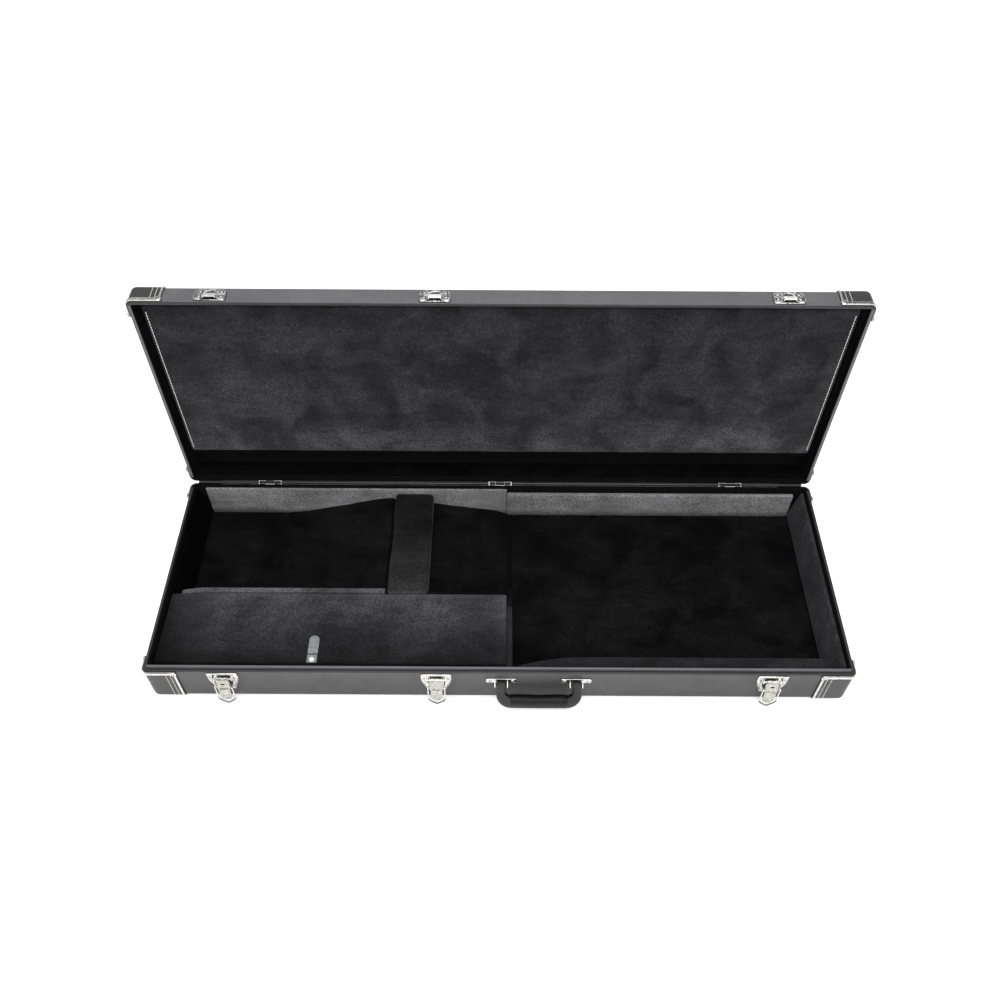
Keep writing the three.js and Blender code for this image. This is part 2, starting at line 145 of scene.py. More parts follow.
def rounded_rectangle(half_x, half_y, radius, steps=8):
    """Anticlockwise outline of four quarter arcs, one round each corner."""
    x, y = half_x - radius, half_y - radius
    centres = [(x, y), (-x, y), (-x, -y), (x, -y)]
    return np.concatenate([arc(c, radius, 90 * k, 90 * k + 90, steps) for k, c in enumerate(centres)])


def softened(points, radius, steps=4):
    """Closed outline with each corner cut back by a radius and rounded by a quadratic curve."""
    points = np.asarray(points, float)
    before, after = np.roll(points, 1, axis=0), np.roll(points, -1, axis=0)
    reach = [np.minimum(radius, 0.49 * np.linalg.norm(q - points, axis=1)) for q in (before, after)]
    ends = [points + (q - points) * (r / np.linalg.norm(q - points, axis=1))[:, None]
            for q, r in zip((before, after), reach)]
    t = np.linspace(0, 1, steps + 1)[None, :, None]
    a, b, c = (p[:, None, :] for p in (ends[0], points, ends[1]))
    return ((1 - t) ** 2 * a + 2 * t * (1 - t) * b + t ** 2 * c).reshape(-1, points.shape[1])


def grown(outline, distance):
    """Anticlockwise outline moved outwards along its mitred normals."""
    ahead = np.roll(outline, -1, axis=0) - outline
    ahead /= np.linalg.norm(ahead, axis=1)[:, None]
    normal = np.column_stack([ahead[:, 1], -ahead[:, 0]])
    before = np.roll(normal, 1, axis=0)
    mitre = (normal + before) / (1 + (normal * before).sum(axis=1))[:, None]
    return outline + distance * mitre


def slab(outline, low, high, edge=0.5, steps=3):
    """An outline given thickness, both its edges rounded over by quarter arcs."""
    sweep = np.radians(np.linspace(0, 90, steps + 1))
    inset, rise = edge * (1 - np.sin(sweep)), edge * (1 - np.cos(sweep))
    lower = [lifted(grown(outline, -i), low + r) for i, r in zip(inset, rise)]
    upper = [lifted(grown(outline, -i), high - r) for i, r in zip(inset[::-1], rise[::-1])]
    return skin(lower + upper)


def lathe(profile, centre, axis="Z", sides=20):
    """A profile of radius and height turned round an axis through a point."""
    angles = np.linspace(0, 2 * math.pi, sides, endpoint=False)
    circle = np.column_stack([np.cos(angles), np.sin(angles)])
    rings = np.array([lifted(circle * max(r, 0.02), h) for r, h in profile])
    order = {"Z": (0, 1, 2), "X": (2, 0, 1), "Y": (1, 2, 0)}[axis]
    points, faces = skin(rings)
    return points[:, order] + np.asarray(centre, float), faces


def tube(path, half_across, half_out=None, sides=12, closed=False, normal=(0, 0, 1), power=2.0):
    """A section carried along a flat path: across lies in the path's plane, out along its normal.

    The section is a superellipse, whose half sizes may change along the path.
    """
    path = np.asarray(path, float)
    count = len(path)
    normal = np.asarray(normal, float)
    across = np.broadcast_to(np.asarray(half_across, float), (count,))
    out = across if half_out is None else np.broadcast_to(np.asarray(half_out, float), (count,))
    if closed:
        tangent = np.roll(path, -1, axis=0) - np.roll(path, 1, axis=0)
    else:
        tangent = np.gradient(path, axis=0)
    tangent /= np.linalg.norm(tangent, axis=1)[:, None]
    side = np.cross(tangent, normal)
    side /= np.linalg.norm(side, axis=1)[:, None]
    angles = np.linspace(0, 2 * math.pi, sides, endpoint=False)
    c = np.sign(np.cos(angles)) * np.abs(np.cos(angles)) ** (2 / power)
    s = np.sign(np.sin(angles)) * np.abs(np.sin(angles)) ** (2 / power)
    rings = (path[:, None, :] + side[:, None, :] * (across[:, None] * c)[..., None]
             + normal * (out[:, None] * s)[..., None])
    return skin(rings, wrap=closed)


def stations(low, high, radius, step):
    """Places along one side of a soft block: its length every step, and its two rounded ends."""
    bend = radius * np.tan(np.linspace(0, math.pi / 4, 4))
    middle = np.linspace(low + radius, high - radius, max(2, int((high - low - 2 * radius) / step) + 1))
    return np.concatenate([(low + radius - bend)[::-1], middle[1:-1], high - radius + bend])


def soft_block(low, high, radius, step=8.0, swell=None):
    """A block whose edges are all arcs: points of the plain box are drawn back to the box that is a
    radius smaller, then pushed out by the radius and by the swell, a function of place and direction."""
    low, high = np.asarray(low, float), np.asarray(high, float)
    radius = min(radius, 0.49 * float((high - low).min()))
    points, faces, start = [], [], 0
    for axis in range(3):
        u, v = (axis + 1) % 3, (axis + 2) % 3
        us, vs = (stations(low[k], high[k], radius, step) for k in (u, v))
        for side, level in ((0, low[axis]), (1, high[axis])):
            grid = np.empty((len(us), len(vs), 3))
            grid[..., axis] = level
            grid[..., u], grid[..., v] = np.meshgrid(us, vs, indexing="ij")
            index = start + np.arange(len(us) * len(vs)).reshape(len(us), len(vs))
            quads = np.stack([index[:-1, :-1], index[1:, :-1], index[1:, 1:], index[:-1, 1:]], axis=-1)
            quads = quads if side else quads[..., ::-1]
            faces += quads.reshape(-1, 4).tolist()
            points.append(grid.reshape(-1, 3))
            start += grid.shape[0] * grid.shape[1]
    points = np.concatenate(points)
    inner = np.clip(points, low + radius, high - radius)
    direction = points - inner
    direction /= np.linalg.norm(direction, axis=1)[:, None]
    out = np.full(len(points), radius)
    if swell is not None:
        out = out + swell(inner, direction)
    return inner + direction * out[:, None], faces


def smooth_step(value, start, end):
    """0 before start, 1 after end, and a smooth turn between them."""
    t = np.clip((value - start) / (end - start), 0, 1)
    return t * t * (3 - 2 * t)


def wander(points, length, seed):
    """A smooth random height about -1 to 1: the mean of ten sine waves whose directions and phases
    are random and whose wavelengths are near the given one."""
    rng = np.random.default_rng(seed)
    directions = rng.normal(size=(10, 3))
    directions /= np.linalg.norm(directions, axis=1)[:, None]
    waves = 2 * math.pi / (length * rng.uniform(0.6, 1.7, 10))
    phases = rng.uniform(0, 2 * math.pi, 10)
    return np.sin(points @ (directions * waves[:, None]).T + phases).mean(axis=1) * 2


def dome(centre, radius, height, axis="Z", sides=14, foot=0.4):
    """A low round head: a short foot, then an elliptic cap."""
    sweep = np.radians(np.linspace(0, 90, 6))
    cap = [(radius * math.cos(a), foot + (height - foot) * math.sin(a)) for a in sweep]
    return lathe([(radius, 0)] + cap, centre, axis, sides)


def screw(x, y, height, radius=2.6):
    """A cross-head screw on a plate: the plated head, and the two grooves of its recess, painted dark as
    shade.
    """
    head = dome((x, y, height), radius, 1.0)
    long, thin = 0.62 * radius, 0.16 * radius
    grooves = [slab(np.array([(-a, -b), (a, -b), (a, b), (-a, b)]) + (x, y),
                    height + 0.7, height + 1.06, edge=0.05, steps=1)
               for a, b in ((long, thin), (thin, long))]
    return [head + (0,)] + [groove + (1,) for groove in grooves]


def stitch_row(points, outward, length=3.0, gap=1.1, radius=0.42):
    """Sewing thread along a path: short capsules, each sunk at both ends, a stitch length apart."""
    points = np.asarray(points, float)
    steps = np.linalg.norm(np.diff(points, axis=0), axis=1)
    along = np.concatenate([[0], np.cumsum(steps)])
    starts = np.arange(gap / 2, along[-1] - length, length + gap)
    skins = []
    angles = np.linspace(0, 2 * math.pi, 6, endpoint=False)
    for start in starts:
        t = start + length * np.array([0, 0.12, 0.5, 0.88, 1])
        centre = np.column_stack([np.interp(t, along, points[:, k]) for k in range(3)])
        out = np.column_stack([np.interp(t, along, np.asarray(outward)[:, k]) for k in range(3)])
        out /= np.linalg.norm(out, axis=1)[:, None]
        tangent = np.gradient(centre, axis=0)
        tangent /= np.linalg.norm(tangent, axis=1)[:, None]
        side = np.cross(tangent, out)
        size = radius * np.array([0.25, 0.85, 1, 0.85, 0.25])
        lift = radius * np.array([-0.4, 0.1, 0.45, 0.1, -0.4])
        round_one = (side[:, None, :] * np.cos(angles)[None, :, None]
                     + out[:, None, :] * np.sin(angles)[None, :, None])
        ring = (centre + out * lift[:, None])[:, None, :] + size[:, None, None] * round_one
        skins.append(skin(ring))
    return skins


# ---------- meshes ----------
def moved(place, points):
    """Points taken through a place's matrix."""
    m = np.array(place)
    return points @ m[:3, :3].T + m[:3, 3]


def make_mesh(name, skins, place):
    """One mesh from closed skins, in metres, with doubles merged and faces turned outwards."""
    points, faces, kinds, start = [], [], [], 0
    for item in skins:
        points.append(moved(place, item[0]))
        faces += [[start + k for k in face] for face in item[1]]
        kinds += [item[2] if len(item) > 2 else 0] * len(item[1])
        start += len(item[0])
    mesh = bpy.data.meshes.new(name)
    mesh.from_pydata((np.concatenate(points) * MM).tolist(), [], faces)
    mesh.polygons.foreach_set("material_index", kinds)
    work = bmesh.new()
    work.from_mesh(mesh)
    bmesh.ops.remove_doubles(work, verts=work.verts, dist=1e-6)
    bmesh.ops.recalc_face_normals(work, faces=work.faces)
    work.to_mesh(mesh)
    work.free()
    mesh.update()
    return mesh


def cut_out(piece, cutters, place):
    """Cuts closed skins out of a piece, and keeps the result as its mesh."""
    tool = bpy.data.objects.new(piece.name + "_cutter", make_mesh(piece.name + "_cutter", cutters, place))
    bpy.context.scene.collection.objects.link(tool)
    cut = piece.modifiers.new("cut", "BOOLEAN")
    cut.operation = "DIFFERENCE"
    cut.solver = "EXACT"
    cut.object = tool
    bake_modifiers(piece)
    bpy.data.objects.remove(tool)


def bake_modifiers(piece):
    """Keeps what a piece's modifiers make of its mesh, and takes them off."""
    bpy.context.view_layer.update()
    shape = piece.evaluated_get(bpy.context.evaluated_depsgraph_get())
    mesh = bpy.data.meshes.new_from_object(shape)
    piece.modifiers.clear()
    piece.data = mesh


def add_piece(name, skins, finishes, body, place=Matrix.Identity(4), replaces=(), sharp=32,
              holes=(), paint=None):
    """A finished piece: mesh, materials, smooth faces with sharp edges kept, the body that it rides on.
    Paint, if given, takes the middles and normals of the faces and returns their material numbers."""
    mesh = make_mesh(name, skins, place)
    if paint is not None:
        middles = np.array([tuple(face.center) for face in mesh.polygons]) / MM
        normals = np.array([tuple(face.normal) for face in mesh.polygons])
        mesh.polygons.foreach_set("material_index", paint(middles, normals).astype(int).tolist())
    piece = bpy.data.objects.new(name, mesh)
    bpy.context.scene.collection.objects.link(piece)
    for finish in finishes if isinstance(finishes, (list, tuple)) else [finishes]:
        mesh.materials.append(finish)
    if holes:
        cut_out(piece, list(holes), place)
    piece.data.shade_smooth()
    piece.data.set_sharp_from_angle(angle=math.radians(sharp))
    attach(piece, body)
    if replaces:
        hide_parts(*([replaces] if isinstance(replaces, str) else replaces))
    return piece


# ---------- materials ----------
def linear(code, alpha=1.0):
    """An sRGB hex colour as linear values."""
    parts = np.array([int(code[k:k + 2], 16) for k in (1, 3, 5)]) / 255
    parts = np.where(parts <= 0.04045, parts / 12.92, ((parts + 0.055) / 1.055) ** 2.4)
    return (*parts.tolist(), alpha)


def add_node(tree, kind, settings=None, values=None, links=None):
    """One shader node, with its settings, the values of its own sockets and the sockets linked into it."""
    node = tree.nodes.new(kind)
    for key, value in (settings or {}).items():
        setattr(node, key, value)
    for key, value in (values or {}).items():
        node.inputs[key].default_value = value
    for key, socket in (links or {}).items():
        tree.links.new(socket, node.inputs[key])
    return node


def new_material(name, **values):
    """A material with one principled shader. Returns it with its tree, shader and object coordinates."""
    material = bpy.data.materials.new(name)
    material.use_nodes = True
    tree = material.node_tree
    shader = tree.nodes["Principled BSDF"]
    for key, value in values.items():
        shader.inputs[key.replace("_", " ")].default_value = value
    place = add_node(tree, "ShaderNodeTexCoord").outputs["Object"]
    return material, tree, shader, place


def per_metre(millimetres):
    """The texture scale that gives a pattern of that size."""
    return 1 / (millimetres * MM)


def noise(tree, place, size, detail=3.0, roughness=0.55, distortion=0.0):
    """Noise whose lumps are about a size in millimetres."""
    return add_node(tree, "ShaderNodeTexNoise", None,
                    {"Scale": per_metre(size), "Detail": detail, "Roughness": roughness,
                     "Distortion": distortion}, {"Vector": place}).outputs["Fac"]


def between(tree, factor, low, high, start=0.35, end=0.65):
    """Colours blended by a factor, from start to end of its range."""
    ramp = add_node(tree, "ShaderNodeValToRGB", links={"Fac": factor})
    ramp.color_ramp.elements[0].position, ramp.color_ramp.elements[1].position = start, end
    ramp.color_ramp.elements[0].color, ramp.color_ramp.elements[1].color = low, high
    return ramp.outputs["Color"]


def multiply(tree, first, second, share=1.0):
    """Two colours multiplied."""
    return add_node(tree, "ShaderNodeMix", {"data_type": "RGBA", "blend_type": "MULTIPLY"}, {0: share},
                    {6: first, 7: second}).outputs[2]


def spread(tree, factor, low, high):
    """A factor spread over a new range."""
    return add_node(tree, "ShaderNodeMapRange", None, {"From Min": 0.3, "From Max": 0.7, "To Min": low,
                                                       "To Max": high}, {"Value": factor}).outputs["Result"]


def shaded(tree, colour, place, shades):
    """A colour times grey factors, each running along an axis between two places in millimetres."""
    parts = add_node(tree, "ShaderNodeSeparateXYZ", None, None, {0: place})
    for axis, start, end, first, last in shades:
        factor = add_node(tree, "ShaderNodeMapRange", None,
                          {"From Min": start * MM, "From Max": end * MM, "To Min": first, "To Max": last},
                          {"Value": parts.outputs[axis]}).outputs["Result"]
        colour = multiply(tree, colour, factor)
    return colour


def bump(tree, height, strength, depth, below=None):
    """Bump of a real depth in millimetres."""
    links = {"Height": height}
    if below is not None:
        links["Normal"] = below
    return add_node(tree, "ShaderNodeBump", None, {"Strength": strength, "Distance": depth * MM},
                    links).outputs["Normal"]


def pebbles(tree, place, size):
    """Height of a pebbled skin: the distance to the edges of cells of a size in millimetres."""
    warped = add_node(tree, "ShaderNodeTexNoise", None, {"Scale": per_metre(3 * size), "Detail": 1.0},
                      {"Vector": place}).outputs["Color"]
    bent = add_node(tree, "ShaderNodeMix", {"data_type": "RGBA", "blend_type": "LINEAR_LIGHT"},
                    {0: 0.35 * size * MM}, {6: place, 7: warped}).outputs[2]
    cells = add_node(tree, "ShaderNodeTexVoronoi", {"feature": "SMOOTH_F1"},
                     {"Scale": per_metre(size), "Smoothness": 0.35}, {"Vector": bent})
    return cells.outputs["Distance"]


def skin_material(name, low, high, grain, depth, roughness, worn=0.06, shades=(), gloss=0.5):
    """A pebbled plastic skin: grain in the bump, darker valleys, and a slow drift in gloss."""
    material, tree, shader, place = new_material(name, IOR=1.5, Specular_IOR_Level=gloss)
    cells = pebbles(tree, place, grain)
    drift = noise(tree, place, 60, 3)
    base = between(tree, drift, linear(low), linear(high))
    valleys = between(tree, cells, (1, 1, 1, 1), (0.62, 0.62, 0.63, 1), 0.25, 0.75)
    colour = shaded(tree, multiply(tree, base, valleys), place, shades)
    tree.links.new(colour, shader.inputs["Base Color"])
    fine = noise(tree, place, 0.5 * grain, 2)
    tree.links.new(spread(tree, noise(tree, place, 25, 4), roughness - worn, roughness + worn),
                   shader.inputs["Roughness"])
    relief = bump(tree, cells, 0.55, depth)
    tree.links.new(bump(tree, fine, 0.2, 0.4 * depth, relief), shader.inputs["Normal"])
    return material


def vinyl_finish():
    """Expanded vinyl over board, embossed with a pebble grain: soft grey highlights that break up. Its
    shades are painted light and shade: paler towards the rim, darker towards the floor and towards the right
    end. The real grain is near 0.8 mm, drawn at 1.6 mm so that it shows."""
    return skin_material("embossed_vinyl", "#363636", "#3d3d3d", 1.6, 0.16, 0.46,
                         shades=[(2, 0, 70, 0.34, 1.6), (0, 60, 520, 1.0, 0.8)])


def lid_vinyl_finish():
    """The same embossed vinyl on the lid, painted a little paler than the base's as painted light, where the
    open lid's face turns up to the lamps.
    """
    return skin_material("embossed_vinyl_of_lid", "#5a5a5d", "#646467", 1.6, 0.16, 0.46)


def edge_vinyl_finish():
    """Vinyl drawn tight over the outer edge of the rim, painted dark as shade. polished dark by handling."""
    return skin_material("vinyl_edge_painted_shade", "#1d1d1e", "#262627", 1.2, 0.08, 0.4)


def cloth_finish():
    """Near-black cloth with a fine weave: the inside of the shells and the lid's hinge-side foot, and
    painted shade on the rear of the base's rim and on the valance's sides and rear.
    """
    material, tree, shader, place = new_material("near_black_cloth_and_painted_shade", Roughness=1.0, Specular_IOR_Level=0.1)
    weave = noise(tree, place, 0.9, 2)
    tree.links.new(between(tree, weave, linear("#050505"), linear("#0e0e0f")), shader.inputs["Base Color"])
    tree.links.new(bump(tree, weave, 0.4, 0.2), shader.inputs["Normal"])
    return material


def shade_finish():
    """Steel inside the hood of a strike, painted dark grey as shade: it mirrors nothing."""
    material, tree, shader, place = new_material("shaded_plated_steel", Roughness=0.6,
                                                 Specular_IOR_Level=0.15)
    haze = noise(tree, place, 6, 3)
    tree.links.new(between(tree, haze, linear("#34373b"), linear("#565a60")), shader.inputs["Base Color"])
    return material


def leatherette_finish():
    """Stiff pressed leatherette: a finer grain and a little more gloss than the vinyl beside it."""
    return skin_material("pressed_leatherette", "#242424", "#2c2c2c", 1.1, 0.14, 0.42)


def grip_finish(name, shades=()):
    """Leatherette of the grip: the guards' skin, dulled by hands. Shades, if given, paint shade into its
    colour.
    """
    return skin_material(name, "#2d2d2e", "#363637", 1.1, 0.14, 0.5, shades=shades, gloss=0.25)


def binding_finish():
    """Smooth moulded vinyl strip, painted pale as a highlight where light rakes along its rounded top."""
    return skin_material("moulded_vinyl_strip", "#5a5a5d", "#646467", 0.9, 0.06, 0.38)


def plush_finish(name, low, high, sheen=0.25, tint="#8a8a8d", shades=()):
    """Velour pile: no gloss, a pale bloom where it turns away, and smudges where the nap lies over. Pile
    tufts of 0.5 mm are drawn at 1.4 mm so that they show. Shades, if given, are painted light and shade, as
    gradients."""
    gloss = min(0.15, 0.5 * sheen)
    material, tree, shader, place = new_material(name, Roughness=0.95, Specular_IOR_Level=gloss,
                                                 Sheen_Weight=sheen, Sheen_Roughness=0.45,
                                                 Sheen_Tint=linear(tint))
    smudge = noise(tree, place, 70, 4, 0.5, 0.6)
    base = between(tree, smudge, linear(low), linear(high), 0.36, 0.64)
    streak_place = add_node(tree, "ShaderNodeMapping", None, {"Scale": (0.3, 1.0, 1.0)},
                            {"Vector": place}).outputs["Vector"]
    streaks = between(tree, noise(tree, streak_place, 12, 5, 0.65, 0.4), (0.8, 0.8, 0.8, 1),
                      (1.18, 1.18, 1.18, 1))
    tufts = between(tree, noise(tree, place, 2.2, 3, 0.7), (0.4, 0.4, 0.4, 1), (1.65, 1.65, 1.65, 1))
    colour = shaded(tree, multiply(tree, multiply(tree, base, streaks), tufts), place, shades)
    tree.links.new(colour, shader.inputs["Base Color"])
    soft = bump(tree, smudge, 0.35, 1.2)
    tree.links.new(bump(tree, noise(tree, place, 1.4, 3), 0.5, 0.5, soft), shader.inputs["Normal"])
    return material


def chrome_finish():
    """Bright nickel-chrome plate on stamped steel: near-mirror, with the slight waves of a pressing."""
    material, tree, shader, place = new_material("chrome_plated_steel", Metallic=1.0)
    haze = noise(tree, place, 9, 3)
    tree.links.new(between(tree, haze, linear("#c2c1bd"), linear("#dcdbd7")), shader.inputs["Base Color"])
    tree.links.new(spread(tree, noise(tree, place, 4, 4), 0.07, 0.2), shader.inputs["Roughness"])
    tree.links.new(bump(tree, noise(tree, place, 5, 2), 0.35, 0.5), shader.inputs["Normal"])
    return material


def dim_plate_finish():
    """Plate of the lever's face, its colour darkened and mottled as painted shade on its reflection, so that
    it does not flare to plain white.
    """
    material, tree, shader, place = new_material("plated_steel_painted_dim", Metallic=1.0)
    mottle = noise(tree, place, 3.2, 4, 0.7)
    tree.links.new(between(tree, mottle, linear("#918f8a"), linear("#c6c3bc"), 0.36, 0.62),
                   shader.inputs["Base Color"])
    tree.links.new(spread(tree, noise(tree, place, 4, 4), 0.12, 0.28), shader.inputs["Roughness"])
    tree.links.new(bump(tree, noise(tree, place, 4, 2), 0.4, 0.5), shader.inputs["Normal"])
    return material


def dark_mirror_finish():
    """Bright plate of the strikes, with dark and pale streaks in its colour: a painted reflection of the
    dark of the room. the strikes, with streaks of light and shade.
    """
    material, tree, shader, place = new_material("mirrored_plated_steel", Metallic=1.0)
    streak = noise(tree, place, 6, 3, 0.6, 1.2)
    tree.links.new(between(tree, streak, linear("#5f6367"), linear("#dededc"), 0.4, 0.6),
                   shader.inputs["Base Color"])
    tree.links.new(spread(tree, noise(tree, place, 4, 4), 0.07, 0.2), shader.inputs["Roughness"])
    tree.links.new(bump(tree, noise(tree, place, 5, 2), 0.5, 0.6), shader.inputs["Normal"])
    return material


def wire_finish():
    """Plated spring wire: duller than the stampings, with a darker colour that is a painted reflection of
    its round section.
    """
    material, tree, shader, place = new_material("plated_wire", Metallic=1.0, Roughness=0.3)
    haze = noise(tree, place, 6, 2)
    tree.links.new(between(tree, haze, linear("#626261"), linear("#858584")), shader.inputs["Base Color"])
    return material


def recess_finish():
    """Near-black steel: the hinge knuckles and pins, and painted shade in slots, windows, screw recesses,
    rivet grooves, under the levers and in the shadow lines round the plates. almost no light comes back.
    """
    material, tree, shader, place = new_material("near_black_steel_and_painted_shade", Roughness=0.7)
    tree.links.new(between(tree, noise(tree, place, 2, 2), linear("#060606"), linear("#101010")),
                   shader.inputs["Base Color"])
    return material


def thread_finish():
    """Bonded polyester thread: off-white, faintly glossy along the twist."""
    material, tree, shader, place = new_material("bonded_thread", Roughness=0.5, Sheen_Weight=0.2)
    twist = noise(tree, place, 0.5, 2)
    tree.links.new(between(tree, twist, linear("#b9b8b4"), linear("#efeeea")), shader.inputs["Base Color"])
    tree.links.new(bump(tree, twist, 0.4, 0.15), shader.inputs["Normal"])
    return material


def dark_thread_finish():
    """Black bonded thread: shows only as a row of small highlights."""
    material, tree, shader, place = new_material("black_thread", Roughness=0.45)
    twist = noise(tree, place, 0.5, 2)
    tree.links.new(between(tree, twist, linear("#1c1c1c"), linear("#3a3a3a")), shader.inputs["Base Color"])
    return material


def split_leather_finish():
    """Grey split leather: matt, with short fibres and a slight cloud."""
    material, tree, shader, place = new_material("split_leather", Roughness=0.78)
    cloud = between(tree, noise(tree, place, 6, 4), linear("#6d6f70"), linear("#8a8b8c"))
    fibre = between(tree, noise(tree, place, 0.7, 3), (0.8, 0.8, 0.8, 1), (1.1, 1.1, 1.1, 1))
    tree.links.new(multiply(tree, cloud, fibre), shader.inputs["Base Color"])
    tree.links.new(bump(tree, noise(tree, place, 0.7, 3), 0.4, 0.2), shader.inputs["Normal"])
    return material


FINISHES = {}


def finish(name):
    """A material by its key, made when first asked for."""
    makers = {
        "vinyl": vinyl_finish,
        "leatherette": leatherette_finish,
        "binding": binding_finish,
        "chrome": chrome_finish,
        "recess": recess_finish,
        "wire": wire_finish,
        "dim_plate": dim_plate_finish,
        "dark_mirror": dark_mirror_finish,
        "thread": thread_finish,
        "leather": split_leather_finish,
        "dark_thread": dark_thread_finish,
        "lid_vinyl": lid_vinyl_finish,
        "edge": edge_vinyl_finish,
        "cloth": cloth_finish,
        "shade": shade_finish,
        # The grip's copy for the faces between its arms paints shade: black at the top of the bar, fading to
        # the plain grip lower down.
        "grip_in_painted_shade": lambda: grip_finish("leatherette_in_shade", [(2, 28, 18, 0.03, 1.0)]),
        "grip": lambda: grip_finish("leatherette_of_grip"),
        # The plush below is one velour. Its copies differ in colour and sheen as painted light and shade:
        # the well's, the lining's and the left end pad's copies are near-black as painted shade, the
        # bolster's is a darker copy, and the end, partition, compartment and rear wall copies are paler as
        # painted light where the pile faces the lamps. Their shades are painted gradients of light and
        # shade.
        "plush": lambda: plush_finish("plush_raised", "#26262a", "#3e3e43"),
        "plush_lid": lambda: plush_finish("plush_of_lid", "#1c1c1e", "#313133", shades=[
            (2, 437, 210, 0.72, 1.25), (2, 215, 145, 1.0, 2.1)]),
        "plush_cover": lambda: plush_finish("plush_of_compartment", "#252527", "#38383a", shades=[
            (1, -38, -166, 1.38, 0.5), (1, -38, -166, 1.38, 0.5), (0, -512, -425, 0.25, 1.0)]),
        "plush_edge": lambda: plush_finish("plush_of_partition", "#38383b", "#55555a", 0.4),
        "plush_front": lambda: plush_finish("plush_of_bolster", "#161617", "#242426"),
        "plush_end": lambda: plush_finish("plush_of_end", "#242428", "#38383d"),
        "plush_deep": lambda: plush_finish("plush_in_the_well", "#080808", "#141415", 0.06),
        "plush_in_painted_shade": lambda: plush_finish("plush_in_shade", "#020202", "#060607", 0.02),
        "plush_wall": lambda: plush_finish("plush_of_wall_painted_light", "#686868", "#7d7d7e", 0.5, shades=[
            (2, 9, 27, 0.12, 1.0)]),
        "plush_dark": lambda: plush_finish("plush_lining", "#040405", "#0a0a0b", 0.05),
        "plush_rest": lambda: plush_finish("plush_neck_rest", "#1a1a1b", "#2c2c2d", 0.2, shades=[
            (1, 20, 110, 1.0, 0.4), (1, -38, -32, 2.6, 1.0)]),
    }
    if name not in FINISHES:
        FINISHES[name] = makers[name]()
    return FINISHES[name]


# ---------- settings ----------
class CaseShellSettings(bpy.types.PropertyGroup):
    board: bpy.props.FloatProperty(
        name="Board", description="Thickness of the covered plywood", default=0.005, unit="LENGTH")
    edge_radius: bpy.props.FloatProperty(
        name="Edge radius", description="Rounding where walls meet the base or the lid's panel",
        default=0.009, unit="LENGTH")


class CasePaddingSettings(bpy.types.PropertyGroup):
    crown: bpy.props.FloatProperty(
        name="Crown", description="How far the foam swells in the middle of a pad",
        default=0.0012, unit="LENGTH")
    unevenness: bpy.props.FloatProperty(
        name="Unevenness", description="Slow waves left in the glued plush", default=0.0006, unit="LENGTH")


class CaseHardwareSettings(bpy.types.PropertyGroup):
    screw_radius: bpy.props.FloatProperty(
        name="Screw radius", description="Half the width of the screw heads", default=0.0026, unit="LENGTH")
    stitch_length: bpy.props.FloatProperty(
        name="Stitch", description="Length of one stitch on the corner guards", default=0.003, unit="LENGTH")


class CaseStageSettings(bpy.types.PropertyGroup):
    floor_colour: bpy.props.FloatVectorProperty(
        name="Floor", description="Colour of the plain floor", subtype="COLOR", size=4,
        default=linear("#f4f4f4"))
    key_power: bpy.props.FloatProperty(
        name="Key light", description="Power of the soft light in front of and above the case",
        default=60.0, unit="POWER")


def setting(group, name):
    """A length setting in millimetres."""
    return getattr(getattr(bpy.context.scene, group), name) / MM


# ---------- shells ----------
# Rounding of both shells' rims, and how far down from the rim the darker finish of its edge, painted shade,
# reaches.
RIM_ROUNDING, RIM_BAND = 0.9, 1.0


def case_outline(offset):
    """The case's plan outline, moved outwards by an offset from its outer face."""
    return rounded_rectangle(HALF_LENGTH + offset, HALF_WIDTH + offset, max(CORNER_RADIUS + offset, 0.6))


def rim_skin(profile, wrap=False):
    """A profile of offset and height carried round the case's outline."""
    return skin([lifted(case_outline(offset), height) for offset, height in profile], wrap)


def shell_profile(depth, board, edge):
    """From the floor's inside, over the rounded rim, down the outside and round the edge to the underside.
    Heights run from the outer panel's face, at zero, to the rim."""
    rim = RIM_ROUNDING
    inside = [(-board, board), (-board, depth - rim)]
    top = arc((-board + rim, depth - rim), rim, 180, 90, 4)[1:].tolist()
    top += arc((-rim, depth - rim), rim, 90, 0, 4).tolist()
    bottom = arc((-edge, edge), edge, 0, -90, 7).tolist()
    return inside + top + bottom


class CASE_OT_base_shell(bpy.types.Operator):
    """Base: one covered shell of four walls and a floor board."""
    bl_idname = "case.base_shell"
    bl_label = "Base shell"

    def execute(self, context):
        board, edge = setting("case_shell", "board"), setting("case_shell", "edge_radius")

        def paint(middles, normals):
            # The rim's band takes the dark edge finish as painted shade, and at the rear the near-black
            # cloth as painted shade; the inside of the shell takes the near-black cloth.
            rim = middles[:, 2] > BASE_HEIGHT - RIM_BAND
            outside = np.maximum(np.abs(middles[:, 0]) - HALF_LENGTH, np.abs(middles[:, 1]) - HALF_WIDTH)
            inner = (outside < 0.5 - board) & (normals[:, 2] > -0.5)
            return np.where(rim, np.where(middles[:, 1] > 170, 2, 1), np.where(inner, 2, 0))
        add_piece("base_shell", [rim_skin(shell_profile(BASE_HEIGHT, board, edge))],
                  [finish("vinyl"), finish("edge"), finish("cloth")], "base",
                  replaces=("base_bottom", "base_frame"), paint=paint)
        return {"FINISHED"}


